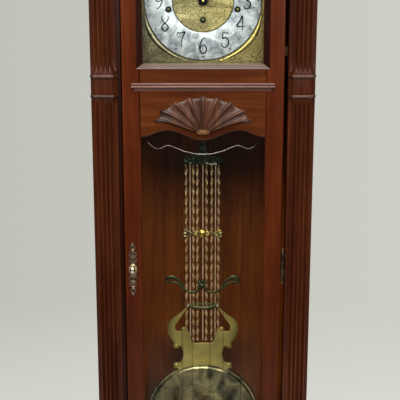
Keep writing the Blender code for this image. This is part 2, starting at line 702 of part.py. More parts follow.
def make_drive():
    """Three weights, the pulleys in their shackles, and the cables."""
    for name, (x, z, side) in TRAINS.items():
        at_x = pulley_x(name)
        weight = make_weight("weight_" + name, at_x)
        centre = (at_x, WEIGHT_Y, PULLEY_Z)
        profile = [(0.0025, 0.004), (0.0245, 0.004), (0.0245, 0.003), (0.0208, 0.0008),
                   (0.0208, -0.0008), (0.0245, -0.003), (0.0245, -0.004), (0.0025, -0.004)]
        wheel = turned("pulley_" + name, profile, centre, "brass", along="Y", steps=20)
        slide = pivot("weight_pivot_" + name, centre, [weight])
        pivot("pulley_pivot_" + name, centre, [wheel], slide)
        make_cable("cable_" + name, name, at_x, z)


def make_weight(name, x):
    """A brass shell with end caps, a stem and the shackle round its pulley."""
    top, radius = PULLEY_Z - 0.05, 0.03
    bottom = top - 0.205
    profile = [(0, top), (0.012, top - 0.004), (radius, top - 0.008), (radius, top - 0.018),
               (radius - 0.0015, top - 0.019), (radius - 0.0015, bottom + 0.019),
               (radius, bottom + 0.018), (radius, bottom + 0.006), (0.01, bottom + 0.003), (0, bottom)]
    weight = turned(name, profile, (x, WEIGHT_Y, 0), "brass")
    shackle = block("shackle", (x - 0.0055, WEIGHT_Y - 0.008, PULLEY_Z - 0.0305),
                    (x + 0.0055, WEIGHT_Y + 0.008, PULLEY_Z - 0.0275), "brass")
    stem = rod("weight_stem", (x, WEIGHT_Y, top - 0.005), (x, WEIGHT_Y, PULLEY_Z - 0.029), 0.0025,
               "brass")
    cheeks = [block("shackle_cheek", (x - 0.005, WEIGHT_Y + side * 0.0065 - 0.001, PULLEY_Z - 0.028),
                    (x + 0.005, WEIGHT_Y + side * 0.0065 + 0.001, PULLEY_Z + 0.005), "brass")
              for side in (-1, 1)]
    pin = rod("shackle_pin", (x, WEIGHT_Y - 0.007, PULLEY_Z), (x, WEIGHT_Y + 0.007, PULLEY_Z),
              0.002, "brass")
    unite(shackle, stem, *cheeks)
    unite(shackle, pin)
    return unite(weight, as_mesh(shackle))


def make_cable(node, name, x, top):
    """A cable from its drum, down round the pulley and up to its post."""
    half = abs(cable_x(name) - post_x(name)) / 2
    turn = arc(x, PULLEY_Z, half, 0, -180, 14)
    path = [(x + half, top)] + turn + [(x - half, top)]
    curve = bpy.data.curves.new(node, "CURVE")
    curve.dimensions = "3D"
    curve.bevel_depth = CABLE_RADIUS
    curve.bevel_resolution = 1
    curve.use_fill_caps = True
    spline = curve.splines.new("POLY")
    spline.points.add(len(path) - 1)
    for point, (at, height) in zip(spline.points, path):
        point.co = (at, WEIGHT_Y, height, 1)
    add_part(node, curve, "steel")


def make_pendulum():
    """The leader with its nine-rod grid, the lyre, the bob and the rating nut."""
    front, back = PENDULUM_Y - 0.005, PENDULUM_Y + 0.005
    grid = block("pendulum_grid", (-0.004, PENDULUM_Y - 0.0015, ROD_TOP + 0.004),
                 (0.004, PENDULUM_Y + 0.0015, PIVOT_Z + 0.006), "brass")
    crown = [(0.047, ROD_TOP - 0.002), (0.047, ROD_TOP + 0.006),
             (0.034, ROD_TOP + 0.01), (0.03, ROD_TOP + 0.019), (0.012, ROD_TOP + 0.013),
             (0, ROD_TOP + 0.03)]
    bars = [board("crown", [mirrored(crown)], front, back, "brass")]
    wing = [(0.046, 0.98), (0.072, 0.983), (0.09, 0.992), (0.093, 1.001), (0.086, 1.007),
            (0.076, 0.998), (0.05, 0.992), (0.012, 0.994), (0, 1.0175)]
    bars.append(board("wing", [mirrored(wing)], front, back, "brass"))
    for low, high, half in ((1.128, 1.142, 0.043), (0.944, 0.953, 0.043), (0.857, 0.866, 0.042)):
        bars.append(block("cross_bar", (-half, front, low), (half, back, high), "brass"))
    rods = [rod("grid_rod", (x, PENDULUM_Y, ROD_BOTTOM + 0.003), (x, PENDULUM_Y, ROD_TOP + 0.001),
                ROD_RADIUS, "brass", 6) for x in ROD_X]
    unite(grid, *bars, *rods)

    rest = BOB_RADIUS + 0.001
    foot = [(x, BOB_Z + math.sqrt(rest ** 2 - x ** 2)) for x in (0, 0.02, 0.04, 0.055, 0.067)]
    arm = [(0.076, 0.775), (0.074, 0.785), (0.06, 0.792), (0.05, 0.808), (0.052, 0.822),
           (0.06, 0.833), (0.076, 0.842), (0.088, 0.857), (0.0925, 0.88), (0.088, 0.9),
           (0.072, 0.924), (0.05, 0.942), (0.0435, 0.9432), (0.0435, 0.936), (0.056, 0.924), (0.067, 0.908),
           (0.074, 0.89), (0.074, 0.872), (0.068, 0.858), (0.056, 0.849), (0.045, 0.8565 - GAP)]
    lyre = board("pendulum_lyre", [mirrored(foot + arm)], front, back, "brass")
    boss = block("lyre_boss", (-0.012, front + 0.001, 0.805), (0.012, PENDULUM_Y + 0.014, 0.845), "brass")
    tail = rod("bob_rod", (0, PENDULUM_Y + 0.012, 0.474), (0, PENDULUM_Y + 0.012, 0.82), 0.0022, "brass")
    unite(lyre, boss, tail)

    # a dished shell, open at the back
    r = BOB_RADIUS
    profile = [(0, 0.0145), (r * 0.3, 0.0137), (r * 0.6, 0.0112), (r * 0.86, 0.0062), (r * 0.9, 0.0055),
               (r * 0.93, 0.007), (r * 0.97, 0.0065), (r, 0.003), (r, -0.003), (r * 0.985, -0.003),
               (r * 0.975, 0.002), (r * 0.86, 0.0035), (r * 0.6, 0.009), (r * 0.3, 0.0115), (0, 0.0123)]
    bob = turned("pendulum_bob", profile, (0, PENDULUM_Y + 0.0065, BOB_Z), "brass", along="Y", steps=36)
    nut_profile = [(0.0028, 0.4895), (0.0095, 0.4895), (0.0105, 0.4875), (0.0105, 0.4825), (0.0095, 0.4805),
                   (0.0028, 0.4805)]
    nut = turned("rating_nut", nut_profile, (0, PENDULUM_Y + 0.012, 0), "brass", steps=16)
    swing = pivot("pendulum_pivot", (0, PENDULUM_Y, PIVOT_Z), [grid, lyre, bob])
    pivot("nut_pivot", (0, PENDULUM_Y + 0.012, 0.485), [nut], swing)


start_scene()
make_case()
make_door()
make_dial()
make_movement()
make_drive()
make_pendulum()
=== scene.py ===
import math

import bmesh
import bpy
from mathutils import Matrix, Vector


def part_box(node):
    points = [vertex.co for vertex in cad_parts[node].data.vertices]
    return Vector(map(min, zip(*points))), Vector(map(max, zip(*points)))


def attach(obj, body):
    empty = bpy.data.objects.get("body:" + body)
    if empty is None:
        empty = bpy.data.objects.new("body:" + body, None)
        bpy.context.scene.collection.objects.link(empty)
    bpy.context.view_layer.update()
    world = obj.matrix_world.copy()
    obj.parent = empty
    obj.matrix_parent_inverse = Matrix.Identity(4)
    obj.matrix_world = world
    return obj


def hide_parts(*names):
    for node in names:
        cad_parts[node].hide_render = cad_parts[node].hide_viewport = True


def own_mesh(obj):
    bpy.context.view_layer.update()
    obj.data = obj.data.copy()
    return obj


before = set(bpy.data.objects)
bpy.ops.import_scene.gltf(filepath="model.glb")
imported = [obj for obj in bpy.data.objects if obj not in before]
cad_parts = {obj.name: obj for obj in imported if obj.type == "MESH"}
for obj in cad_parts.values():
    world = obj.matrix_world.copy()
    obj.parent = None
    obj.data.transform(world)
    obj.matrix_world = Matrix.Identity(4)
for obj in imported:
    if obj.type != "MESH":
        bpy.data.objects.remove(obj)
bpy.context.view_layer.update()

# A longcase clock in cherry: the woodwork, the dial, the pendulum and the drive.
# Everything is in metres, with the front of the clock towards -Y.

doorLow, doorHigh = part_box("door_stile_left")
doorFront = doorLow.y
doorBack = doorHigh.y
openingHalf = -doorHigh.x            # half width of the trunk glass opening
dialLow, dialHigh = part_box("dial_plate")
dialHalf = dialHigh.x
dialZ = dialLow.z + dialHalf         # middle of the dial
dialFront = dialLow.y
gridLow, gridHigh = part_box("pendulum_grid")
pendulumY = (gridLow.y + gridHigh.y) / 2


# a box with its edges rounded over
def boxShape(low, high, edge, segments=2):
    shape = bmesh.new()
    bmesh.ops.create_cube(shape, size=1)
    bmesh.ops.scale(shape, vec=Vector(high) - Vector(low), verts=shape.verts)
    bmesh.ops.translate(shape, vec=(Vector(high) + Vector(low)) / 2, verts=shape.verts)
    roundOver(shape, shape.edges[:], edge, segments)
    return shape


def roundOver(shape, edges, width, segments):
    bmesh.ops.bevel(shape, geom=edges, offset=width, offset_type="OFFSET", affect="EDGES",
                    segments=segments, profile=0.5, material=-1, clamp_overlap=True)


# a flat board from an outline in X and Z; edge is the rounding of its front edge
def plateShape(outline, front, back, edge=0.0):
    shape = bmesh.new()
    face = shape.faces.new([shape.verts.new((x, front, z)) for x, z in outline])
    face.normal_update()
    if face.normal.y > 0:
        face.normal_flip()
    made = bmesh.ops.extrude_face_region(shape, geom=[face], use_keep_orig=True)["geom"]
    rear = [item for item in made if isinstance(item, bmesh.types.BMVert)]
    bmesh.ops.translate(shape, vec=(0, back - front, 0), verts=rear)
    bmesh.ops.recalc_face_normals(shape, faces=shape.faces)
    if edge:
        rim = [e for e in shape.edges if all(v.co.y < front + 1e-6 for v in e.verts)]
        roundOver(shape, rim, edge, 2)
    return shape


# a turned shape from (radius, height) points, spun round its own Z and then placed
def turnedShape(profile, place, steps=48):
    shape = bmesh.new()
    points = [shape.verts.new((radius, 0, height)) for radius, height in profile]
    edges = [shape.edges.new(pair) for pair in zip(points, points[1:])]
    bmesh.ops.spin(shape, geom=points + edges, cent=(0, 0, 0), axis=(0, 0, 1),
                   angle=math.tau, steps=steps, use_merge=True, use_duplicate=False)
    bmesh.ops.remove_doubles(shape, verts=shape.verts, dist=1e-6)
    bmesh.ops.recalc_face_normals(shape, faces=shape.faces)
    bmesh.ops.transform(shape, matrix=place, verts=shape.verts)
    return shape


# a place whose own Z looks to the front of the clock
def facing(x, y, z):
    return Matrix.Translation((x, y, z)) @ Matrix.Rotation(math.radians(90), 4, "X")


# the same place, with what is turned there made oval
def ovalFacing(x, y, z, across, up):
    turn = Matrix.Rotation(math.radians(90), 4, "X")
    return Matrix.Translation((x, y, z)) @ Matrix.Diagonal((across, 1, up, 1)) @ turn


# a round wire through points; thick gives its radius along the way, from 0 to 1
def wireShape(points, radius, sides, thick=None, closed=False):
    shape = bmesh.new()
    points = [Vector(p) for p in points]
    rings = []
    count = len(points)
    for i, point in enumerate(points):
        before = points[i - 1] if i or closed else point
        after = points[(i + 1) % count] if i < count - 1 or closed else point
        along = (after - before).normalized()
        turn = along.to_track_quat("Z", "Y").to_matrix().to_4x4()
        size = radius * (thick(i / (count - 1)) if thick else 1)
        ring = bmesh.ops.create_circle(shape, cap_ends=False, segments=sides, radius=size,
                                       matrix=Matrix.Translation(point) @ turn)["verts"]
        rings.append(ring)
    pairs = list(zip(rings, rings[1:]))
    if closed:
        pairs.append((rings[-1], rings[0]))
    for first, second in pairs:
        edges = {e for v in first for e in v.link_edges if e.other_vert(v) in first}
        edges |= {e for v in second for e in v.link_edges if e.other_vert(v) in second}
        bmesh.ops.bridge_loops(shape, edges=list(edges))
    if not closed:
        shape.faces.new(rings[0])
        shape.faces.new(rings[-1])
    bmesh.ops.recalc_face_normals(shape, faces=shape.faces)
    return shape


# puts several shapes into one mesh
def join(shapes):
    whole = bmesh.new()
    for shape in shapes:
        mesh = bpy.data.meshes.new("part")
        shape.to_mesh(mesh)
        shape.free()
        whole.from_mesh(mesh)
        bpy.data.meshes.remove(mesh)
    return whole


# makes an object of a shape and lets it ride on a body of the clock
def addPiece(name, shape, finish, body, replaced=(), sharp=38):
    mesh = bpy.data.meshes.new(name)
    shape.to_mesh(mesh)
    shape.free()
    mesh.materials.append(finish)
    mesh.shade_smooth()
    mesh.set_sharp_from_angle(angle=math.radians(sharp))
    piece = bpy.data.objects.new(name, mesh)
    bpy.context.scene.collection.objects.link(piece)
    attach(piece, body)
    if replaced:
        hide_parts(*replaced)
    return piece


# points on an arc, in degrees from +X towards +Z
def arcPoints(x, z, radius, start, end, count):
    angles = [math.radians(start + (end - start) * i / count) for i in range(count + 1)]
    return [(x + radius * math.cos(a), z + radius * math.sin(a)) for a in angles]


def smoothStep(t):
    t = min(1, max(0, t))
    return t * t * (3 - 2 * t)


# a smooth line through a few points, as Catmull-Rom pieces
def through(points, each):
    path = []
    padded = [points[0]] + list(points) + [points[-1]]
    for a, b, c, d in zip(padded, padded[1:], padded[2:], padded[3:]):
        for i in range(each):
            t = i / each
            path.append(tuple(0.5 * (2 * q + (r - p) * t + (2 * p - 5 * q + 4 * r - s) * t * t
                                     + (3 * q - p - 3 * r + s) * t ** 3)
                              for p, q, r, s in zip(a, b, c, d)))
    path.append(tuple(points[-1]))
    return path


def startFinish(name):
    finish = bpy.data.materials.new(name)
    finish.use_nodes = True
    tree = finish.node_tree
    return finish, tree, tree.nodes["Principled BSDF"]


# object coordinates, stretched and moved to suit a pattern; one number stretches all three alike
def placed(tree, scale, shift):
    coords = tree.nodes.new("ShaderNodeTexCoord")
    mapping = tree.nodes.new("ShaderNodeMapping")
    mapping.inputs["Scale"].default_value = scale if isinstance(scale, tuple) else (scale,) * 3
    mapping.inputs["Location"].default_value = shift
    tree.links.new(coords.outputs["Object"], mapping.inputs["Vector"])
    return mapping.outputs["Vector"]


def noisy(tree, scale, detail, roughness, distortion=0.0, shift=(0, 0, 0)):
    noise = tree.nodes.new("ShaderNodeTexNoise")
    noise.inputs["Scale"].default_value = 1
    noise.inputs["Detail"].default_value = detail
    noise.inputs["Roughness"].default_value = roughness
    noise.inputs["Distortion"].default_value = distortion
    tree.links.new(placed(tree, scale, shift), noise.inputs["Vector"])
    return noise.outputs["Fac"]


# one coordinate, which runs from 0 to 1 between low and high
def spanned(tree, axis, low, high, kind="Object"):
    coords = tree.nodes.new("ShaderNodeTexCoord")
    split = tree.nodes.new("ShaderNodeSeparateXYZ")
    tree.links.new(coords.outputs[kind], split.inputs["Vector"])
    span = tree.nodes.new("ShaderNodeMapRange")
    span.inputs["From Min"].default_value = low
    span.inputs["From Max"].default_value = high
    tree.links.new(split.outputs[axis], span.inputs["Value"])
    return span.outputs["Result"]


def ramp(tree, value, stops):
    band = tree.nodes.new("ShaderNodeValToRGB")
    while len(band.color_ramp.elements) < len(stops):
        band.color_ramp.elements.new(0.5)
    for element, (at, colour) in zip(band.color_ramp.elements, stops):
        element.position = at
        element.color = (*colour, 1)
    tree.links.new(value, band.inputs["Fac"])
    return band.outputs["Color"]


def mixed(tree, kind, share, first, second):
    mix = tree.nodes.new("ShaderNodeMix")
    mix.data_type = "RGBA"
    mix.blend_type = kind
    if isinstance(share, float):
        mix.inputs["Factor"].default_value = share
    else:
        tree.links.new(share, mix.inputs["Factor"])
    for socket, value in ((mix.inputs[6], first), (mix.inputs[7], second)):
        if isinstance(value, tuple):
            socket.default_value = (*value, 1)
        else:
            tree.links.new(value, socket)
    return mix.outputs[2]


def between(tree, value, low, high):
    span = tree.nodes.new("ShaderNodeMapRange")
    span.inputs["To Min"].default_value = low
    span.inputs["To Max"].default_value = high
    tree.links.new(value, span.inputs["Value"])
    return span.outputs["Result"]


def bumped(tree, shader, height, strength, distance):
    bump = tree.nodes.new("ShaderNodeBump")
    bump.inputs["Strength"].default_value = strength
    bump.inputs["Distance"].default_value = distance
    tree.links.new(height, bump.inputs["Height"])
    tree.links.new(bump.outputs["Normal"], shader.inputs["Normal"])


cherryTone = {
    "dark": (0.042, 0.0066, 0.0010),
    "middle": (0.068, 0.0122, 0.0018),
    "light": (0.100, 0.0215, 0.0034),
    "pore": (0.50, 0.44, 0.40),
    "patch": (0.72, 0.60, 0.52),
    "streak": 0.50,
    "coat": 0.28, "gloss": 0.10,
    "roughness": (0.30, 0.44),
}
stilePaintedShadeTone = dict(cherryTone, fade=((0.9, 0.70), (1.3, 0.94), (1.6, 1.0)))     # painted shade: darker towards the foot, where less light falls
# painted shade: a nearly black copy of the cherry for the face frames and the dial frame's sides, which lie
# in shadow
framePaintedShadeTone = dict(cherryTone, dark=(0.010, 0.0014, 0.0004), middle=(0.017, 0.0026, 0.0007),
                 light=(0.028, 0.0046, 0.0012), coat=0.1)
railTone = dict(cherryTone, dark=(0.042, 0.0084, 0.0016), middle=(0.073, 0.0176, 0.0033),
                light=(0.112, 0.0305, 0.0064), patch=(0.70, 0.59, 0.52), streak=0.42)
darkTone = dict(cherryTone, dark=(0.028, 0.0060, 0.0018), middle=(0.053, 0.0125, 0.0037),
                light=(0.086, 0.0230, 0.0072), coat=0.40)
# the trunk's back panel: lighter than the door's wood, as painted light for the dim trunk
backTone = dict(cherryTone, dark=(0.150, 0.0310, 0.0030), middle=(0.220, 0.0510, 0.0052),
                light=(0.292, 0.0760, 0.0082), coat=0.0, gloss=0.05, roughness=(0.45, 0.6),
                fade=((0.7, 1.0), (1.1, 0.76), (1.4, 0.40)))      # painted shade: darker towards the top, in the shadow of the rail above the glass
# painted sheen: a pale grey-pink copy of the cherry for the dial's sill, where the lacquer catches the light
paintedSheenTone = dict(cherryTone, dark=(0.080, 0.0550, 0.0430), middle=(0.122, 0.0880, 0.0710),
               light=(0.174, 0.1360, 0.1140), gloss=0.35)
plyTone = dict(cherryTone, dark=(0.16, 0.085, 0.04), middle=(0.25, 0.14, 0.07),
               light=(0.33, 0.20, 0.10), coat=0.0, roughness=(0.55, 0.7))


# lacquered wood whose grain runs along one axis; shift moves the figure from board to board
def woodFinish(name, grain, shift, tone=cherryTone):
    finish, tree, shader = startFinish(name)
    axis = "XYZ".index(grain)
    move = (shift * 1.7, shift * 0.9, shift * 1.3)
    stretch = lambda across, along: tuple(along if i == axis else across for i in range(3))
    figure = noisy(tree, stretch(26, 1.3), 5, 0.6, 1.1, shift=move)
    colour = ramp(tree, figure, [(0.28, tone["dark"]), (0.5, tone["middle"]), (0.74, tone["light"])])
    lines = noisy(tree, stretch(260, 5), 3, 0.6, shift=move)
    streaks = ramp(tree, lines, [(0.36, (0.62, 0.55, 0.52)), (0.56, (1, 1, 1))])
    colour = mixed(tree, "MULTIPLY", tone["streak"], colour, streaks)
    pores = noisy(tree, stretch(900, 30), 2, 0.5, shift=move)
    dots = ramp(tree, pores, [(0.30, tone["pore"]), (0.40, (1, 1, 1))])
    colour = mixed(tree, "MULTIPLY", 0.7, colour, dots)
    cloud = noisy(tree, stretch(9, 4), 4, 0.6, 0.4, shift=move)
    patches = ramp(tree, cloud, [(0.32, tone["patch"]), (0.62, (1.14, 1.10, 1.06))])
    colour = mixed(tree, "MULTIPLY", 0.85, colour, patches)
    # painted shade by height, for the tones that carry it
    if "fade" in tone:
        colour = mixed(tree, "MULTIPLY", 1.0, colour, heightFade(tree, tone["fade"]))
    tree.links.new(colour, shader.inputs["Base Color"])
    tree.links.new(between(tree, cloud, *tone["roughness"]), shader.inputs["Roughness"])
    shader.inputs["Specular IOR Level"].default_value = tone["gloss"]
    shader.inputs["Coat Weight"].default_value = tone["coat"]
    shader.inputs["Coat Roughness"].default_value = 0.22
    shader.inputs["Coat IOR"].default_value = 1.3
    bumped(tree, shader, pores, 0.12, 0.0004)
    return finish


# painted shade by height, from (height, strength) pairs
def heightFade(tree, stops):
    low, high = stops[0][0], stops[-1][0]
    return ramp(tree, spanned(tree, "Z", low, high),
                [((z - low) / (high - low), (strength,) * 3) for z, strength in stops])


brassTone = {"light": (0.74, 0.52, 0.20), "dark": (0.46, 0.30, 0.10), "roughness": (0.16, 0.30),
             "scratch": 0.03}


# polished metal with faint tarnish and fine scratches
def metalFinish(name, tone=brassTone, stretch=(1, 1, 1), size=38.0):
    finish, tree, shader = startFinish(name)
    tarnish = noisy(tree, size, 5, 0.62, 0.4)
    colour = ramp(tree, tarnish, [(0.34, tone["dark"]), (0.60, tone["light"])])
    tree.links.new(colour, shader.inputs["Base Color"])
    shader.inputs["Metallic"].default_value = tone.get("metal", 1.0)
    scale = tuple(620 * s for s in stretch)
    scratches = noisy(tree, scale, 3, 0.6)
    wear = mixed(tree, "MIX", 0.4, tarnish, scratches)
    tree.links.new(between(tree, wear, *tone["roughness"]), shader.inputs["Roughness"])
    bumped(tree, shader, scratches, tone["scratch"], 0.0003)
    return finish


# distance from an axis that runs front to back, in metres
def radiusFrom(tree, centre):
    vector = placed(tree, (1, 0, 1), (-centre[0], 0, -centre[1]))
    length = tree.nodes.new("ShaderNodeVectorMath")
    length.operation = "LENGTH"
    tree.links.new(vector, length.inputs[0])
    return length.outputs["Value"]


# metal brushed in circles round an axis that runs front to back
def spunFinish(name, centre, tone, blotch, rings=900.0, depth=0.05, size=24.0):
    finish, tree, shader = startFinish(name)
    radius = radiusFrom(tree, centre)
    circles = tree.nodes.new("ShaderNodeTexNoise")
    circles.noise_dimensions = "1D"
    circles.inputs["Scale"].default_value = rings
    circles.inputs["Detail"].default_value = 3
    tree.links.new(radius, circles.inputs["W"])
    cloud = noisy(tree, size, 5, 0.6, 0.8)
    share = mixed(tree, "MIX", blotch, circles.outputs["Fac"], cloud)
    colour = ramp(tree, share, [(0.38, tone["dark"]), (0.60, tone["light"])])
    tree.links.new(colour, shader.inputs["Base Color"])
    shader.inputs["Metallic"].default_value = tone["metal"]
    tree.links.new(between(tree, share, *tone["roughness"]), shader.inputs["Roughness"])
    bumped(tree, shader, circles.outputs["Fac"], depth, 0.0003)
    return finish


etchTone = {
    "hollow": (0.040, 0.035, 0.017), "middle": (0.60, 0.48, 0.20), "crest": (1.0, 0.91, 0.58),
    # the left and right ends of a painted shade across the dial: greyer and darker to the left
    "shadedLeft": (0.47, 0.50, 0.50), "bright": (1.0, 0.92, 0.66), "reach": 0.12,
    "corner": (0.54, 0.52, 0.48),      # the corners against the middle of the dial
}


# etched and matted brass, with painted shade that makes it greyer and darker towards the left of the clock
def etchedFinish(name, tone):
    finish, tree, shader = startFinish(name)
    speckle = noisy(tree, 300, 4, 0.72, 1.8)
    etched = ramp(tree, speckle, [(0.38, tone["hollow"]), (0.49, tone["middle"]),
                                  (0.62, tone["crest"])])
    cloud = noisy(tree, 30, 3, 0.5)
    patches = ramp(tree, cloud, [(0.35, (0.62, 0.62, 0.62)), (0.65, (1.1, 1.1, 1.1))])
    colour = mixed(tree, "MULTIPLY", 0.8, etched, patches)
    # painted shade across the dial, from left to right
    across = spanned(tree, "X", -tone["reach"], tone["reach"])
    leftShade = ramp(tree, across, [(0, tone["shadedLeft"]), (1, tone["bright"])])
    colour = mixed(tree, "MULTIPLY", 1.0, colour, leftShade)
    radius = radiusFrom(tree, (0, dialZ))
    corner = ramp(tree, radius, [(0.09, (1, 1, 1)), (0.11, tone["corner"])])
    colour = mixed(tree, "MULTIPLY", 1.0, colour, corner)
    tree.links.new(colour, shader.inputs["Base Color"])
    shader.inputs["Metallic"].default_value = 0.6
    tree.links.new(between(tree, cloud, 0.42, 0.6), shader.inputs["Roughness"])
    bumped(tree, shader, speckle, 0.45, 0.0005)
    return finish


# glass that lets light through and reflects a share of it; gives the share's socket and the gloss
def startGlass(name, clearColour, glossColour):
    finish, tree, shader = startFinish(name)
    tree.nodes.remove(shader)
    clear = tree.nodes.new("ShaderNodeBsdfTransparent")
    clear.inputs["Color"].default_value = (*clearColour, 1)
    gloss = tree.nodes.new("ShaderNodeBsdfGlossy")
    gloss.inputs["Color"].default_value = (*glossColour, 1)
    mix = tree.nodes.new("ShaderNodeMixShader")
    tree.links.new(clear.outputs["BSDF"], mix.inputs[1])
    tree.links.new(gloss.outputs["BSDF"], mix.inputs[2])
    tree.links.new(mix.outputs["Shader"], tree.nodes["Material Output"].inputs["Surface"])
    return finish, tree, mix.inputs["Fac"], gloss


# clear sheet glass
def glassFinish():
    finish, tree, share, gloss = startGlass("clearGlass", (0.95, 0.965, 0.955), (0.95, 1, 1))
    edge = tree.nodes.new("ShaderNodeFresnel")
    edge.inputs["IOR"].default_value = 1.22
    tree.links.new(edge.outputs["Fac"], share)
    smears = noisy(tree, 9, 5, 0.6, 0.6)
    tree.links.new(between(tree, smears, 0.01, 0.06), gloss.inputs["Roughness"])
    return finish


silverTone = {"light": (0.92, 0.95, 0.94), "dark": (0.23, 0.25, 0.29), "roughness": (0.30, 0.46),
              "metal": 0.40}
steelTone = {"light": (0.56, 0.56, 0.56), "dark": (0.36, 0.36, 0.37), "roughness": (0.22, 0.4),
             "scratch": 0.03}
blackTone = {"light": (0.030, 0.030, 0.034), "dark": (0.012, 0.012, 0.014), "roughness": (0.25, 0.4),
             "scratch": 0.02}
agedTone = {"light": (0.40, 0.33, 0.15), "dark": (0.12, 0.12, 0.055), "roughness": (0.24, 0.42),
            "scratch": 0.04}
bronzeTone = {"light": (0.105, 0.108, 0.046), "dark": (0.034, 0.040, 0.018), "roughness": (0.30, 0.48),
              "scratch": 0.05}
crownTone = {"light": (0.078, 0.094, 0.056), "dark": (0.020, 0.028, 0.016), "roughness": (0.30, 0.48),
             "scratch": 0.05}
hingeTone = {"light": (0.120, 0.095, 0.055), "dark": (0.040, 0.030, 0.018), "roughness": (0.30, 0.45),
             "scratch": 0.04}
rodTone = {"light": (0.84, 0.60, 0.40), "dark": (0.56, 0.36, 0.21), "roughness": (0.34, 0.46),
           "scratch": 0.02, "metal": 0.60}
twistTone = {"light": (0.66, 0.42, 0.20), "dark": (0.38, 0.22, 0.095), "roughness": (0.27, 0.40),
             "scratch": 0.02, "metal": 0.60}
lyreTone = {"light": (0.52, 0.40, 0.115), "dark": (0.34, 0.255, 0.070), "roughness": (0.42, 0.52),
            "scratch": 0.03}
plateTone = {"light": (0.70, 0.56, 0.40), "dark": (0.30, 0.23, 0.15), "roughness": (0.22, 0.36),
             "scratch": 0.03}
# painted reflection: near-black blotches against bright brass, for the bob's mottled reflections
bobPaintedReflectionTone = {"light": (0.62, 0.50, 0.24), "dark": (0.048, 0.046, 0.022), "roughness": (0.24, 0.40),
           "metal": 1.0}

brass = metalFinish("polishedBrass")
steel = metalFinish("polishedSteel", steelTone)
blackSteel = metalFinish("blackLacquer", blackTone)
agedBrass = metalFinish("agedBrass", agedTone)
plateBrass = metalFinish("plateBrass", plateTone)
bronze = metalFinish("darkBronze", bronzeTone)
crownBronze = metalFinish("crownBronze", crownTone)
hingeBrass = metalFinish("hingeBrass", hingeTone)
rodBrass = metalFinish("rodBrass", rodTone)
twistBrass = metalFinish("twistBrass", twistTone)
lyreBrass = metalFinish("lyreBrass", lyreTone, size=14.0)
silvered = spunFinish("silveredRing", (0, dialZ), silverTone, 0.75, size=44.0)
etched = etchedFinish("etchedBrass", etchTone)
glass = glassFinish()
print("finishes ready")


caseWork = {
    "edge": 0.0015,             # rounding of the boards' edges
    "frameEdge": 0.002,
}


# a copy of a CAD part's shape, with its flat faces made whole and its corners rounded
def softened(node, edge=0.0, segments=2):
    shape = bmesh.new()
    shape.from_mesh(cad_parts[node].data)
    bmesh.ops.remove_doubles(shape, verts=shape.verts, dist=1e-5)
    bmesh.ops.dissolve_limit(shape, angle_limit=math.radians(1), verts=shape.verts, edges=shape.edges)
    if edge:
        corners = [e for e in shape.edges if e.is_manifold and e.calc_face_angle() > math.radians(35)]
        roundOver(shape, corners, edge, segments)
    return shape


# a finished piece in the shape of a CAD part, which it replaces
def coverNode(node, finish, body, edge, segments=2):
    return addPiece(node + "_finished", softened(node, edge, segments), finish, body, [node])


# extends a shape from one of its faces and gives the new end; keeps that face only at a shape's start
def pushed(shape, face, start=False):
    made = bmesh.ops.extrude_face_region(shape, geom=[face], use_keep_orig=start)["geom"]
    if not start:
        bmesh.ops.delete(shape, geom=[face], context="FACES_ONLY")
    return next(item for item in made if isinstance(item, bmesh.types.BMFace))


# a slab whose front and ends follow (height, half width, front) as it rises
def steppedShape(levels, back):
    shape = bmesh.new()
    bmesh.ops.create_cube(shape, size=2)
    for vert in shape.verts:
        height, half, front = levels[0] if vert.co.z < 0 else levels[1]
        vert.co = (half * vert.co.x, front if vert.co.y < 0 else back, height)
    shape.normal_update()
    top = max(shape.faces, key=lambda face: face.calc_center_median().z)
    for height, half, front in levels[2:]:
        top = pushed(shape, top)
        middle = top.calc_center_median().y
        for vert in top.verts:
            side = 1 if vert.co.x > 0 else -1
            vert.co = (side * half, front if vert.co.y < middle else back, height)
    bmesh.ops.recalc_face_normals(shape, faces=shape.faces)
    return shape


# moulding points from start to end: bulge over 0 swells, under 0 hollows
def curved(start, end, bulge, count):
    points = []
    for i in range(1, count + 1):
        t = i / count
        out, up = math.sin(t * math.pi / 2), 1 - math.cos(t * math.pi / 2)
        if bulge < 0:
            out, up = up, out
        points.append((start[0] + (end[0] - start[0]) * up, start[1] + (end[1] - start[1]) * out))
    return points


def makeCase():
    boards = {"side_panel_left": ("Z", 1.3), "side_panel_right": ("Z", 2.9),
              "base_side_left": ("Z", 4.1), "base_side_right": ("Z", 5.7),
              "plinth": ("X", 11.7), "pediment_left": ("X", 12.1), "pediment_right": ("X", 13.6)}
    for node, (grain, shift) in boards.items():
        coverNode(node, woodFinish(node + "Wood", grain, shift), "case", caseWork["edge"])
    for node, shift in (("face_frame_left", 6.1), ("face_frame_right", 7.4)):
        # painted shade: the face frames sit in the dark gaps beside the door
        finish = woodFinish(node + "Wood", "Z", shift, framePaintedShadeTone)
        coverNode(node, finish, "case", caseWork["frameEdge"])
    coverNode("back_panel", woodFinish("backPanelWood", "Z", 8.2, backTone), "case", 0.0006)
    makeBaseFront()
    makeCornice()
    makeTrunkFloor()
    makeFinial()
    for side in (-1, 1):
        makePilaster(side)
        makeRosette(side)


# the base's front: a board with a raised and fielded panel
def makeBaseFront():
    low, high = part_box("base_front_panel")
    shape = boxShape(low, high, caseWork["edge"])
    shape.faces.ensure_lookup_table()
    front = min(shape.faces, key=lambda face: face.calc_center_median().y - face.calc_area())
    steps = ((0.075, 0), (0.003, 0.003), (0.002, 0), (0.004, -0.005), (0.022, 0.004), (0.0015, 0.0012))
    for thickness, depth in steps:
        bmesh.ops.inset_region(shape, faces=[front], thickness=thickness, depth=depth,
                               use_even_offset=True, use_boundary=True)
    finish = woodFinish("baseFrontWood", "X", 3.3)
    addPiece("base_front_board", shape, finish, "case", ["base_front_panel"])


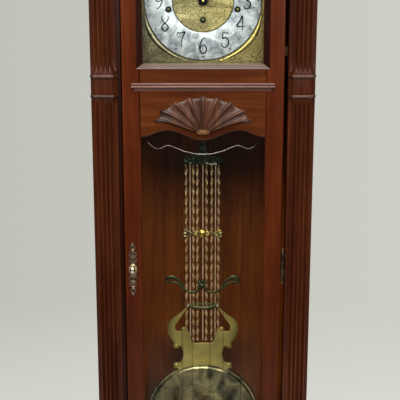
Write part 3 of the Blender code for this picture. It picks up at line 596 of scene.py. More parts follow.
# a board with a moulding along its front and ends, from (height, projection at the ends) points;
# side and ahead are the moulding's greatest projection at the ends and at the front
def mouldedBoard(node, name, finish, profile, side, ahead):
    low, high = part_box(node)
    levels = [(height, high.x - side + out, low.y + ahead - out * ahead / side) for height, out in profile]
    addPiece(name, steppedShape(levels, high.y), finish, "case", [node], sharp=32)


def makeCornice():
    low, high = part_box("cornice")
    z = low.z
    profile = [(z, 0), (z + 0.010, 0)] + curved((z + 0.010, 0), (z + 0.014, 0.003), 1, 4)
    profile += [(z + 0.015, 0.005)] + curved((z + 0.015, 0.005), (z + 0.046, 0.040), -1, 10)
    profile += [(z + 0.047, 0.044), (z + 0.0495, 0.0445)]
    profile += curved((z + 0.0495, 0.0445), (z + 0.0585, 0.054), 1, 6)
    profile += [(high.z - 0.004, 0.054)] + curved((high.z - 0.004, 0.054), (high.z, 0.050), 1, 3)
    finish = woodFinish("corniceWood", "X", 9.1)
    mouldedBoard("cornice", "cornice_moulding", finish, profile, 0.054, 0.025)


def makeTrunkFloor():
    low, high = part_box("trunk_floor")
    z = low.z
    profile = [(z, 0.031)] + curved((z, 0.031), (z + 0.003, 0.033), 1, 3)
    profile += [(z + 0.008, 0.033)] + curved((z + 0.008, 0.033), (z + 0.011, 0.029), 1, 3)
    profile += [(z + 0.012, 0.026)] + curved((z + 0.012, 0.026), (z + 0.028, 0.004), -1, 8)
    profile += [(z + 0.029, 0.002)] + curved((z + 0.029, 0.002), (z + 0.0315, 0.0), 1, 3) + [(high.z, 0)]
    finish = woodFinish("waistWood", "X", 10.3)
    mouldedBoard("trunk_floor", "waist_moulding", finish, profile, 0.033, 0.020)


def makeFinial():
    low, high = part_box("finial")
    top, centre = high.z, (low + high) / 2
    profile = [(0, top), (0.0016, top - 0.001), (0.0032, top - 0.006), (0.0052, top - 0.012),
               (0.0074, top - 0.021), (0.0068, top - 0.026), (0.0058, top - 0.029), (0.0085, top - 0.031),
               (0.0088, top - 0.033), (0.0140, top - 0.037), (0.0178, top - 0.043), (0.0186, top - 0.050),
               (0.0174, top - 0.058), (0.0135, top - 0.065), (0.0092, top - 0.070), (0.0078, top - 0.074),
               (0.0080, top - 0.079), (0.0125, top - 0.082), (0.0132, top - 0.084), (0.0128, top - 0.086),
               (0.0190, top - 0.089), (0.0222, top - 0.093), (0.0238, top - 0.095), (0.0238, low.z),
               (0, low.z)]
    shape = turnedShape(profile, Matrix.Translation((centre.x, centre.y, 0)))
    addPiece("finial_turning", shape, woodFinish("finialWood", "Z", 14.9), "case", ["finial"])


rosetteWork = {
    "x": 0.065, "z": 2.15, "front": -0.1502,
    "radius": 0.0165,
    "petals": 8, "petalRadius": 0.0105,
}


# a carved rosette in the eye of each scroll
def makeRosette(side):
    w = rosetteWork
    x, z, front, radius = side * w["x"], w["z"], w["front"], w["radius"]
    petals = []
    for px, pz in arcPoints(x, z, w["petalRadius"], 0, 360, w["petals"])[:-1]:
        profile = [(0.0001, 0.0042), (0.0022, 0.0038), (0.0036, 0.0024), (0.0042, 0.0), (0.0001, 0.0)]
        petals.append(turnedShape(profile, facing(px, front, pz), 16))
    profile = [(0.0001, 0.0065), (0.0028, 0.0058), (0.0044, 0.0038), (0.0048, 0), (0.0001, 0)]
    petals.append(turnedShape(profile, facing(x, front, z), 20))
    disc = [(0.0001, 0.0016), (radius - 0.003, 0.0016), (radius - 0.0025, 0.0028), (radius - 0.001, 0.0032),
            (radius, 0.002), (radius, 0), (0.0001, 0)]
    petals.append(turnedShape(disc, facing(x, front, z), 40))
    name = "rosette_left" if side < 0 else "rosette_right"
    addPiece(name, join(petals), woodFinish(name + "Wood", "Z", 15 + side), "case")


pilasterWork = {
    "inner": 0.190, "outer": 0.249,        # at the back, from the middle of the clock
    "faceInner": 0.1995, "faceOuter": 0.2385,
    "front": -0.134, "back": -0.1163,
    "fluteDepth": 0.0065,
    "fillet": 0.20,                        # flat at each edge of a flute, against its pitch
    "blockLow": 1.484, "blockHigh": 1.548,
    "footTop": 0.47, "headBottom": 1.93,
    "beads": (1.4935, 1.5375),
    "beadHalf": 0.0034,
}


# the fluted section at one height; depth runs from 0, plain, to 1, full flutes
def pilasterSection(side, depth):
    w = pilasterWork
    runs = [((w["inner"], w["back"] - 0.003), (w["faceInner"], w["front"]), 1),
            ((w["faceInner"], w["front"]), (w["faceOuter"], w["front"]), 4),
            ((w["faceOuter"], w["front"]), (w["outer"], w["back"] - 0.003), 1)]
    points = [(w["inner"], w["back"])]
    for start, end, flutes in runs:
        run = Vector(end) - Vector(start)
        inward = Vector((run.y, -run.x)).normalized() * -1
        for i in range(flutes * 8):
            t = i / (flutes * 8)
            share = ((t * flutes) % 1 - w["fillet"]) / (1 - 2 * w["fillet"])
            cut = math.sin(math.pi * share) ** 0.5 if 0 <= share <= 1 else 0
            point = Vector(start) + run * t + inward * cut * w["fluteDepth"] * depth
            points.append((point.x, point.y))
    points.append((w["outer"], w["back"] - 0.003))
    points.append((w["outer"], w["back"]))
    return [(side * x, y) for x, y in points]


# a pilaster with stopped flutes above and below a plain block, and its two beads
def makePilaster(side):
    w = pilasterWork
    name = "pilaster_left" if side < 0 else "pilaster_right"
    low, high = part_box(name)
    stop = [(0.001 * i * i, math.sin(math.pi * i / 12)) for i in range(7)]      # how a flute runs out
    levels = [(low.z, 0)]
    for start, end in ((w["footTop"], w["blockLow"]), (w["blockHigh"], w["headBottom"])):
        levels += [(start + up, depth) for up, depth in stop]
        levels += [(end - up, depth) for up, depth in reversed(stop)]
    levels.append((high.z, 0))
    shape = bmesh.new()
    ring = [shape.verts.new((x, y, low.z)) for x, y in pilasterSection(side, 0)]
    face = shape.faces.new(ring)
    for i, (height, depth) in enumerate(levels[1:]):
        face = pushed(shape, face, i == 0)
        # its corners take the places of the section's points, one by one
        for corner, (x, y) in zip(orderedFrom(face, side), pilasterSection(side, depth)):
            corner.co = (x, y, height)
    bmesh.ops.recalc_face_normals(shape, faces=shape.faces)
    finish = woodFinish(name + "Wood", "Z", 20 + side * 3, darkTone)
    addPiece(name + "_fluted", shape, finish, "case", [name], sharp=30)
    makePilasterBeads(side, name)


# a face's corners, from the inner back corner round the front to the outer back corner
def orderedFrom(face, side):
    w = pilasterWork
    corners = list(face.verts)

    def nearest(x):
        place = Vector((side * x, w["back"]))
        return min(range(len(corners)), key=lambda i: (corners[i].co.xy - place).length)

    start = nearest(w["inner"])
    corners = corners[start:] + corners[:start]
    if nearest(w["outer"]) == 1:
        corners = [corners[0]] + corners[:0:-1]
    return corners


beadTone = dict(darkTone, dark=(0.030, 0.0085, 0.0040), middle=(0.056, 0.0190, 0.0100),
                light=(0.090, 0.0350, 0.0200), gloss=0.5, roughness=(0.22, 0.32))


def makePilasterBeads(side, name):
    w = pilasterWork
    beads = []
    for height in w["beads"]:
        section = [(w["inner"] - 0.0012, w["back"] + 0.0005), (w["inner"] - 0.0012, w["back"] - 0.0045),
                   (w["faceInner"] - 0.0022, w["front"] - 0.0048),
                   (w["faceOuter"] + 0.0022, w["front"] - 0.0048),
                   (w["outer"] + 0.0012, w["back"] - 0.0045), (w["outer"] + 0.0012, w["back"] + 0.0005)]
        shape = bmesh.new()
        low = height - w["beadHalf"]
        face = shape.faces.new([shape.verts.new((side * x, y, low)) for x, y in section])
        made = bmesh.ops.extrude_face_region(shape, geom=[face], use_keep_orig=True)["geom"]
        up = [item for item in made if isinstance(item, bmesh.types.BMVert)]
        bmesh.ops.translate(shape, vec=(0, 0, w["beadHalf"] * 2), verts=up)
        bmesh.ops.recalc_face_normals(shape, faces=shape.faces)
        flat = [e for e in shape.edges if abs(e.verts[0].co.z - e.verts[1].co.z) < 1e-6
                and max(v.co.y for v in e.verts) < w["back"] + 0.0004]
        roundOver(shape, flat, w["beadHalf"] * 0.92, 5)
        beads.append(shape)
    addPiece(name + "_beads", join(beads), woodFinish(name + "BeadWood", "X", 23 + side, beadTone),
             "case")


makeCase()
print("case ready")


doorWork = {
    "edge": 0.0022,
    "lip": 0.0055,                      # moulded edge round the trunk's glass
    "frameOuter": 0.148,                # the dial's glazing frame, from the middle
    "frameInner": 0.134,
    "frameFront": -0.1225, "frameDeep": -0.1040, "frameBack": -0.1002,
    "frameRise": 0.0107,
    "frameTop": 1.8369,
    "midRailEdge": 1.42,                # above the middle rail's shaped lower edge
}


def makeDoor():
    for node, grain, shift, tone in (("door_stile_left", "Z", 31.2, stilePaintedShadeTone),
                                     ("door_stile_right", "Z", 33.9, stilePaintedShadeTone),
                                     ("door_top_rail", "X", 35.5, railTone),
                                     ("door_mid_rail", "X", 38.1, railTone),
                                     ("door_bottom_rail", "X", 41.7, railTone)):
        makeDoorPart(node, woodFinish(node + "Wood", grain, shift, tone))
    makeDialFrame()
    makeMidMoulding()
    makeShell()
    makePanes()
    makeEscutcheon()
    makeKnob()
    for name, height in hingeWork["heights"].items():
        makeHinge(name, height)


# a stile's outline, set back where it holds the dial's glazing frame
def stileShape(node, sillZ):
    w = doorWork
    low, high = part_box(node)
    side = 1 if low.x > 0 else -1
    outer = max(abs(low.x), abs(high.x))
    points = [(outer, low.z), (outer, high.z), (openingHalf, high.z), (openingHalf, w["frameTop"]),
              (w["frameOuter"], w["frameTop"]), (w["frameOuter"], sillZ), (openingHalf, sillZ),
              (openingHalf, low.z)]
    return plateShape([(side * x, z) for x, z in points], doorFront, doorBack)


# a stile or a rail: rounded arrises, and a wider moulded lip where it borders the glass
def makeDoorPart(node, finish):
    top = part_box(node)[1].z
    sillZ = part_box("dial_sill")[0].z
    shape = stileShape(node, sillZ) if "stile" in node else softened(node)
    front = [e for e in shape.edges if e.is_manifold and e.calc_face_angle() > 0.6
             and all(v.co.y < doorFront + 1e-4 for v in e.verts)]
    if "stile" in node:
        lip = [e for e in front if all(abs(abs(v.co.x) - openingHalf) < 1e-4 and v.co.z < sillZ + 1e-4
                                       for v in e.verts)]
    elif node == "door_mid_rail":
        lip = [e for e in front if all(v.co.z < doorWork["midRailEdge"] for v in e.verts)
               and abs(e.verts[0].co.x - e.verts[1].co.x) > 1e-4]
    elif node == "door_top_rail":
        lip = [e for e in front if all(v.co.z < top - 0.01 for v in e.verts)
               and abs(e.verts[0].co.x - e.verts[1].co.x) > 1e-4]
    else:
        lip = [e for e in front if all(v.co.z > top - 1e-4 for v in e.verts)]
    roundOver(shape, lip, doorWork["lip"], 5)
    if "stile" in node:
        outer = [e for e in shape.edges if e.is_manifold and e.calc_face_angle() > 0.9
                 and all(v.co.y < doorFront + 1e-4 and abs(v.co.x) > doorWork["frameOuter"] + 0.01
                         for v in e.verts)]
        roundOver(shape, outer, doorWork["edge"], 3)
    addPiece(node + "_moulded", shape, finish, "door", [node])


# a straight bar between two ends, each given by its corners
def barShape(first, second):
    shape = bmesh.new()
    rings = [[shape.verts.new(corner) for corner in end] for end in (first, second)]
    loops = [shape.edges.new((ring[i - 1], ring[i])) for ring in rings for i in range(len(ring))]
    bmesh.ops.bridge_loops(shape, edges=loops)
    for ring in rings:
        shape.faces.new(ring)
    bmesh.ops.recalc_face_normals(shape, faces=shape.faces)
    roundOver(shape, [e for e in shape.edges if e.calc_length() > 0.05], 0.0006, 2)
    return shape


# the dial's glazing frame: a sloping sill painted pale as a sheen and sides painted dark as shade, mitred at
# the corners
def makeDialFrame():
    w = doorWork
    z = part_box("dial_sill")[0].z
    outer, inner, rise = w["frameOuter"], w["frameInner"], w["frameRise"]
    section = [(w["frameFront"], 0), (w["frameFront"] + 0.001, 0.0018), (w["frameDeep"], rise),
               (w["frameBack"], rise), (w["frameBack"], 0)]
    mitre = lambda up: outer - (outer - inner) * up / rise
    ends = [[(side * mitre(up), y, z + up) for y, up in section] for side in (-1, 1)]
    addPiece("dial_sill_bead", barShape(*ends), woodFinish("sillPaintedSheenWood", "X", 44.4, paintedSheenTone), "door",
             ["dial_sill"])
    for side, name in ((-1, "left"), (1, "right")):
        low = [(side * mitre(up), y, z + up) for y, up in section]
        high = [(x, y, w["frameTop"]) for x, y, up in low]
        # painted shade: the sides take the nearly black frame tone
        finish = woodFinish(name + "BeadWood", "Z", 45.0 + side, framePaintedShadeTone)
        addPiece("dial_bead_" + name, barShape(low, high), finish, "door")


# painted highlight: a pale copy of the cherry for the middle moulding's reeds, standing in for the light on
# them
mouldPaintedHighlightTone = dict(paintedSheenTone, dark=(0.075, 0.0310, 0.0210), middle=(0.122, 0.0540, 0.0385),
                 light=(0.182, 0.0920, 0.0680))


# a moulding of two fine reeds over a plain hollow, with mitred ends
def makeMidMoulding():
    low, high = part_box("door_mid_moulding")
    z, half, back = low.z, high.x - 0.0085, high.y
    reeds = ((0.0092, 0.0046), (0.0150, 0.0042))        # height and projection of each reed's middle
    radius = 0.0031
    profile = [(0, 0.0003), (0.0044, 0.0004), (0.0056, 0.0014), (0.0062, 0.0036)]
    for up, out in reeds:
        for i in range(8):
            angle = math.radians(-75 + 150 * i / 7)
            profile.append((up + radius * math.sin(angle), out + radius * math.cos(angle)))
    profile += [(high.z - z, 0.0010)]
    shape = steppedShape([(z + up, half + out, back - out) for up, out in profile], back)
    # the reeds' pale tone is painted highlight
    finish = woodFinish("railMouldingPaintedHighlightWood", "X", 47.7, mouldPaintedHighlightTone)
    addPiece("rail_moulding", shape, finish, "door", ["door_mid_moulding"], sharp=50)


shellWork = {
    "eye": (0.0, 1.4145),
    "tips": ((0.0, 1.4952), (0.0318, 1.4906), (0.0636, 1.4812), (0.0948, 1.4622), (0.1100, 1.4392)),
    "edge": (0.1084, 1.4338),       # where the lower edge ends
    "bulge": 0.0105,                # how far the outer ribs bow upwards
    "scallop": 0.062,
    "base": 0.0018,
    "ridge": 0.0100,
    "fine": 0.0011,
    "fineLines": 5,
    "ribs": 4.5,                    # to each side of the middle
    "across": 324, "along": 30,     # squares of the grid the shell is made from
    "boss": (0.0106, 0.0056, 0.0034),       # half sizes of the eye
    "rim": (0.0132, 0.0047), "rimWire": 0.0013,
}


# where the rib numbered t ends; the middle one is 0, and those to its left are below it
def shellTip(t):
    w = shellWork
    tips = list(w["tips"]) + [w["edge"]]
    places = [0, 1, 2, 3, 4, w["ribs"]]
    size = abs(t)
    k = min(4, int(size))
    share = (size - places[k]) / (places[k + 1] - places[k])
    x = tips[k][0] + (tips[k + 1][0] - tips[k][0]) * share
    z = tips[k][1] + (tips[k + 1][1] - tips[k][1]) * share
    return math.copysign(x, t), z


# a point of the carved shell: t across the ribs, s from the eye to the tips
def shellPoint(t, s):
    w = shellWork
    tipX, tipZ = shellTip(t)
    phase = t - round(t)
    rib = math.cos(math.pi * phase) ** 2
    reach = 1 - w["scallop"] * (1 - rib)
    startX, startZ = w["eye"][0] + 0.0022 * t, w["eye"][1]
    bow = w["bulge"] * (abs(t) / w["ribs"]) ** 2
    s = 0.04 + 0.96 * s
    endX, endZ = startX + (tipX - startX) * reach, startZ + (tipZ - startZ) * reach
    x = startX + (endX - startX) * s
    z = startZ + (endZ - startZ) * s + bow * 4 * s * (1 - s) * (1.6 * s - 0.25)
    swell = math.sin(math.pi * min(1, 0.12 + 0.86 * s)) ** 0.45
    crest = math.exp(-(phase / 0.14) ** 2)
    lines = 0.5 - 0.5 * math.cos(math.tau * w["fineLines"] * phase)
    carving = w["ridge"] * (0.45 * rib + 0.55 * crest) + w["fine"] * lines * (1 - crest) * smoothStep(s * 2)
    height = w["base"] + carving * swell * (0.40 + 0.60 * s)
    height += 0.0022 * (1 - s)
    tipRound = smoothStep((1 - s) / 0.06)
    return x, z, height * (0.35 + 0.65 * tipRound)


def makeShell():
    w = shellWork
    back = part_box("shell_carving")[1].y
    shape = bmesh.new()
    bmesh.ops.create_grid(shape, x_segments=w["across"], y_segments=w["along"], size=0.5)
    for vert in shape.verts:
        x, z, height = shellPoint(vert.co.x * w["ribs"] * 2, vert.co.y + 0.5)
        vert.co = (x, back - height, z)
    rim = [e for e in shape.edges if e.is_boundary]
    made = bmesh.ops.extrude_edge_only(shape, edges=rim)["geom"]
    for item in made:
        if isinstance(item, bmesh.types.BMVert):
            item.co.y = back
    bottom = [e for e in shape.edges if e.is_boundary]
    bmesh.ops.contextual_create(shape, geom=bottom)
    bmesh.ops.recalc_face_normals(shape, faces=shape.faces)
    carved = woodFinish("shellWood", "Z", 50.3, shellTone)
    addPiece("shell_carved", shape, carved, "door", ["shell_carving"], sharp=60)
    makeShellEye(back)


# an oval boss in a raised rim, where the ribs meet
def makeShellEye(back):
    w = shellWork
    z = w["eye"][1] - 0.0008
    eye = bmesh.new()
    bmesh.ops.create_uvsphere(eye, u_segments=32, v_segments=16, radius=1)
    bmesh.ops.scale(eye, vec=w["boss"], verts=eye.verts)
    bmesh.ops.translate(eye, vec=(0, back - 0.0058, z), verts=eye.verts)
    half, rise = w["rim"]
    around = [(half * x, back - 0.0056, z + rise * up) for x, up in arcPoints(0, 0, 1, 0, 360, 40)[:-1]]
    rim = wireShape(around, w["rimWire"], 8, closed=True)
    addPiece("shell_eye", join([eye, rim]), woodFinish("eyeWood", "X", 52.1, eyeTone), "door")


shellTone = dict(cherryTone, dark=(0.026, 0.0080, 0.0032), middle=(0.060, 0.0205, 0.0082),
                 light=(0.118, 0.0450, 0.0195), gloss=0.32, roughness=(0.30, 0.42))
eyeTone = dict(cherryTone, dark=(0.074, 0.0310, 0.0100), middle=(0.128, 0.0580, 0.0180),
               light=(0.190, 0.0920, 0.0320))


paneWork = {
    "groove": ((0, 1.3590), (0.020, 1.3605), (0.043, 1.3660), (0.062, 1.3737), (0.074, 1.3785),
               (0.0805, 1.3796), (0.088, 1.3765), (0.096, 1.3730), (0.104, 1.3718), (0.112, 1.3745),
               (0.119, 1.3805), (0.1244, 1.3865)),          # from the middle to one end
    "grooveWire": 0.0007,
    "sideX": 0.118, "sideTop": 1.372, "sideLength": 0.90, "sideLean": 0.0012, "sideWire": 0.00025,
}


# two sheets of clear glass; the trunk's has a polished groove that follows the rail above
def makePanes():
    w = paneWork
    for node in ("dial_glass", "trunk_glass"):
        addPiece(node + "_pane", boxShape(*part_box(node), 0.0006, 2), glass, "door", [node])
    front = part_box("trunk_glass")[0].y
    line = through(w["groove"], 6)
    both = [(-x, z) for x, z in reversed(line)] + line[1:]
    groove = wireShape([(x, front + 0.0002, z) for x, z in both], w["grooveWire"], 8,
                       thick=lambda t: 0.40 + 0.60 * math.sin(math.pi * t) ** 2)
    addPiece("glass_groove", groove, cutGlass, "door")
    falls = []
    for side in (-1, 1):
        run = [(side * (w["sideX"] - w["sideLean"] * i / 20), front + 0.0003,
                w["sideTop"] - w["sideLength"] * i / 20) for i in range(21)]
        falls.append(wireShape(run, w["sideWire"], 6))
    addPiece("glass_side_grooves", join(falls), glass, "door")


# polished cuts in the glass, which catch the light
def cutGlassFinish():
    finish, tree, share, gloss = startGlass("cutGlass", (1, 1, 1), (0.26, 0.24, 0.19))
    gloss.inputs["Roughness"].default_value = 0.28
    patches = noisy(tree, 16, 2, 0.5)
    tree.links.new(between(tree, patches, 0.05, 0.75), share)
    return finish


cutGlass = cutGlassFinish()


escutcheonWork = {
    "x": -0.162, "z": 1.093, "front": -0.1223, "wire": 0.0011,
    "scrolls": (((0.0005, 0.060), (0.0048, 0.055), (0.0046, 0.049), (0.0012, 0.0465), (0.0010, 0.043),
                 (0.0062, 0.0395), (0.0082, 0.034), (0.0060, 0.0295), (0.0026, 0.031), (0.0034, 0.0345),
                 (0.0058, 0.0335)),
                ((0.0018, 0.029), (0.0072, 0.026), (0.0090, 0.0205), (0.0068, 0.0160), (0.0030, 0.0175),
                 (0.0040, 0.0212), (0.0062, 0.0200))),
}


# a pierced plate of brass scrolls round a plain oval boss for the knob
def makeEscutcheon():
    w = escutcheonWork
    x, z, y = w["x"], w["z"], w["front"] - 0.0012
    parts = []
    for up in (-1, 1):
        for side in (-1, 1):
            for points in w["scrolls"]:
                scroll = [(x + side * a, y, z + up * b) for a, b in through(points, 4)]
                parts.append(wireShape(scroll, w["wire"], 6))
            parts.append(wireShape([(x + side * 0.0010, y, z + up * 0.014),
                                    (x + side * 0.0010, y, z + up * 0.060)], w["wire"] * 0.7, 6))
        leaf = [(0.0001, 0.0026), (0.0020, 0.0022), (0.0030, 0.0), (0.0001, 0.0)]
        for height in (0.0600, 0.0450, 0.0285):
            parts.append(turnedShape(leaf, facing(x, y + 0.0010, z + up * height), 14))
    boss = [(0.0001, 0.0014), (0.0085, 0.0014), (0.0098, 0.0022), (0.0112, 0.0018), (0.0118, 0.0),
            (0.0001, 0.0)]
    parts.append(turnedShape(boss, ovalFacing(x, w["front"] - 0.0001, z, 0.85, 1.35), 32))
    addPiece("escutcheon_scrolls", join(parts), plateBrass, "door", ["escutcheon"], sharp=50)


knobBrass = metalFinish("knobBrass", dict(brassTone, light=(0.80, 0.72, 0.52), dark=(0.45, 0.38, 0.22)))
knobWork = {"x": -0.162, "z": 1.096, "cam": 0.0060}


# the door's pull: an oval knob on a turned neck, with the cam that holds the door shut
def makeKnob():
    w = knobWork
    low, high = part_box("door_knob")
    x, z = w["x"], w["z"]
    reach = doorFront - low.y
    tail = doorFront - high.y + 0.0031
    profile = [(0.0001, reach), (0.0034, reach - 0.0006), (0.0062, reach - 0.0028), (0.0076, reach - 0.0062),
               (0.0074, reach - 0.0098), (0.0056, reach - 0.0130), (0.0036, reach - 0.0152),
               (0.0034, 0.0060), (0.0052, 0.0042), (0.0056, 0.0028), (0.0050, 0.0), (0.0034, -0.0008),
               (0.0034, -0.0120), (0.0034, tail), (0.0001, tail)]
    knob = turnedShape(profile, ovalFacing(x, doorFront, z, 0.8, 1.25), 40)
    outline = arcPoints(x, z, w["cam"], 0, 180, 12) + arcPoints(x, low.z + 0.0035, 0.0035, 180, 360, 10)
    cam = plateShape(outline, high.y - 0.0028, high.y - 0.0002, 0.0005)
    addPiece("door_pull", join([knob, cam]), knobBrass, "knob", ["door_knob"], sharp=40)


hingeWork = {
    "x": 0.1843, "y": -0.1225,              # the pin
    "heights": {"top": 1.78, "middle": 1.1, "bottom": 0.56},
    "halfPin": 0.0335,
}


# a butt hinge: two leaves with their knuckles and a pin with acorn ends
def makeHinge(name, height):
    w = hingeWork
    coverNode("hinge_case_leaf_" + name, hingeBrass, "case", 0.0004, 2)
    coverNode("hinge_door_leaf_" + name, hingeBrass, "door", 0.0004, 2)
    ends = []
    for up in (-1, 1):
        base = w["halfPin"]
        acorn = [(0.0001, base + 0.0100), (0.0012, base + 0.0092), (0.0024, base + 0.0066),
                 (0.0027, base + 0.0044), (0.0018, base + 0.0026), (0.0026, base + 0.0014),
                 (0.0030, base + 0.0004), (0.0001, base + 0.0002)]
        flip = Matrix.Scale(-1, 4, (0, 0, 1)) if up < 0 else Matrix.Identity(4)
        end = turnedShape(acorn, Matrix.Translation((w["x"], w["y"], height)) @ flip, 20)
        bmesh.ops.recalc_face_normals(end, faces=end.faces)
        ends.append(end)
    addPiece("hinge_acorns_" + name, join(ends), hingeBrass, "case")


makeDoor()
print("door ready")


dialWork = {
    "ringInner": 0.0695, "ringOuter": 0.130,
    "numeralRadius": 0.098, "numeralHeight": 0.034, "numeralSpacing": 0.0155, "stroke": 0.00145,
    "dotRadius": 0.1222, "hourDot": 0.0019, "minuteDot": 0.0006,
    "holes": ((-0.077, 1.681), (0.077, 1.681), (0.0, 1.658)),
    "arcRadius": 0.1325,               # inner edge of the bright crescents
    "arcHalf": (0.0011, 0.0055),        # half widths at the ends and in the middle
    "crescent": (14, 73),              # where a crescent starts and ends, in degrees from the side
    "roundelRise": 0.170,
}

# strokes of each digit in a box one unit wide and high, centred
digitStrokes = {
    "0": [[(0, 0.5), (-0.27, 0.3), (-0.33, 0), (-0.27, -0.3), (0, -0.5), (0.27, -0.3), (0.33, 0),
           (0.27, 0.3), (0, 0.5)]],
    "1": [[(-0.22, 0.28), (-0.06, 0.40), (0.02, 0.5), (0.02, 0), (0.02, -0.5)],
          [(-0.18, -0.5), (0.02, -0.48), (0.22, -0.5)]],
    "2": [[(-0.22, 0.24), (-0.30, 0.34), (-0.14, 0.48), (0.10, 0.48), (0.28, 0.30), (0.22, 0.06),
           (-0.02, -0.20), (-0.30, -0.46), (-0.10, -0.40), (0.14, -0.50), (0.32, -0.34)]],
    "3": [[(-0.26, 0.34), (-0.10, 0.49), (0.14, 0.46), (0.25, 0.28), (0.12, 0.08), (-0.06, 0.03),
           (0.18, -0.04), (0.30, -0.24), (0.14, -0.47), (-0.12, -0.50), (-0.30, -0.34), (-0.22, -0.24)]],
    "4": [[(0.12, -0.5), (0.12, 0), (0.12, 0.5), (-0.10, 0.12), (-0.36, -0.18), (0, -0.20), (0.36, -0.16)]],
    "5": [[(0.30, 0.46), (0.10, 0.42), (-0.14, 0.48), (-0.18, 0.22), (-0.20, 0.06), (0.04, 0.14),
           (0.28, -0.04), (0.26, -0.32), (0.02, -0.50), (-0.24, -0.42), (-0.30, -0.28), (-0.20, -0.24)]],
    "6": [[(0.22, 0.42), (0.10, 0.50), (-0.12, 0.30), (-0.28, -0.08), (-0.20, -0.40), (0.02, -0.51),
           (0.26, -0.38), (0.28, -0.14), (0.08, 0.04), (-0.14, -0.02), (-0.22, -0.20)]],
    "7": [[(-0.34, 0.28), (-0.28, 0.46), (-0.08, 0.42), (0.12, 0.46), (0.32, 0.50), (0.14, 0.18),
           (0.02, -0.14), (0.02, -0.50)]],
    "8": [[(0.20, 0.50), (0.30, 0.34), (0.10, 0.08), (-0.18, -0.12), (-0.26, -0.32), (0, -0.51),
           (0.26, -0.32), (0.18, -0.12), (-0.10, 0.08), (-0.30, 0.34), (-0.20, 0.50)]],
    "9": [[(-0.22, -0.42), (-0.10, -0.50), (0.12, -0.30), (0.28, 0.08), (0.20, 0.40), (-0.02, 0.51),
           (-0.26, 0.38), (-0.28, 0.14), (-0.08, -0.04), (0.14, 0.02), (0.22, 0.20)]],
}


def digitShape(digit, x, z, height, front):
    width = height * 0.78
    strokes = []
    for stroke in digitStrokes[digit]:
        line = through(stroke, 4)
        wire = wireShape([(x + a * width, 0, z + b * height) for a, b in line], dialWork["stroke"], 6,
                         thick=lambda t: 0.55 + 0.55 * math.sin(math.pi * t))
        bmesh.ops.scale(wire, vec=(1, 0.35, 1), verts=wire.verts)
        bmesh.ops.translate(wire, vec=(0, front, 0), verts=wire.verts)
        strokes.append(wire)
    return strokes


# a flat ring round the dial's middle; a turned part's heights run towards the front
def ringShape(inner, outer, front, back, edge):
    near, far = -front, -back
    profile = [(inner, far), (inner, near - edge), (inner + edge, near), (outer - edge, near),
               (outer, near - edge), (outer, far), (inner, far)]
    return turnedShape(profile, facing(0, 0, dialZ), 128)


def makeDial():
    w = dialWork
    plate = softened("dial_plate", 0.0004, 1)
    addPiece("dial_back_plate", plate, etched, "case", ["dial_plate"])
    ring = softened("chapter_ring", 0.0005, 2)
    addPiece("chapter_ring_silvered", ring, silvered, "case", ["chapter_ring"])
    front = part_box("chapter_ring")[0].y
    numerals = []
    for hour in range(1, 13):
        angle = math.radians(90 - 30 * hour)
        x, z = w["numeralRadius"] * math.cos(angle), dialZ + w["numeralRadius"] * math.sin(angle)
        digits = str(hour)
        for i, digit in enumerate(digits):
            offset = (i - (len(digits) - 1) / 2) * w["numeralSpacing"]
            numerals += digitShape(digit, x + offset, z, w["numeralHeight"], front)
    addPiece("numerals", join(numerals), blackSteel, "case")
    dots = []
    for minute in range(60):
        angle = math.radians(90 - 6 * minute)
        size = w["minuteDot"] if minute % 5 else w["hourDot"]
        profile = [(0.0001, 0.0006), (size * 0.8, 0.0005), (size, 0), (0.0001, 0)]
        place = facing(w["dotRadius"] * math.cos(angle), front, dialZ + w["dotRadius"] * math.sin(angle))
        dots.append(turnedShape(profile, place, 6 if minute % 5 else 12))
    addPiece("minute_dots", join(dots), blackSteel, "case")
    makeDialCentre()
    makeSpandrels()
    makeMoonDisc()


# a raised rim round the engraved centre, a black line round the ring as its painted shadow, and the winding
# holes' collets
def makeDialCentre():
    w = dialWork
    rim = ringShape(w["ringInner"] - 0.0026, w["ringInner"] - 0.0004, dialFront - 0.0026,
                    dialFront + 0.0004, 0.0006)
    addPiece("centre_rim", rim, agedBrass, "case")
    # painted shadow: a black ring just outside the chapter ring
    shadow = ringShape(w["ringOuter"] + 0.0002, w["ringOuter"] + 0.0016, dialFront - 0.0009,
                       dialFront + 0.0002, 0.0003)
    addPiece("ring_shadow_line", shadow, blackSteel, "case")
    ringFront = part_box("chapter_ring")[0].y
    collets = []
    for x, z in w["holes"]:
        face = ringFront if x else dialFront
        profile = [(0.0040, 0.0010), (0.0046, 0.0016), (0.0056, 0.0018), (0.0066, 0.0012), (0.0070, 0),
                   (0.0040, 0), (0.0040, 0.0010)]
        collets.append(turnedShape(profile, facing(x, face, z), 28))
    addPiece("winding_collets", join(collets), blackSteel, "case")


# one scroll of the corner ornament, as a half-round leaf
def spandrelLeaf(points, size, front):
    line = through(points, 5)
    leaf = wireShape([(x, 0, z) for x, z in line], size, 8,
                     thick=lambda t: 0.35 + 0.75 * math.sin(math.pi * min(1, t * 1.15)) ** 0.8)
    bmesh.ops.scale(leaf, vec=(1, 0.6, 1), verts=leaf.verts)
    bmesh.ops.translate(leaf, vec=(0, front, 0), verts=leaf.verts)
    return leaf


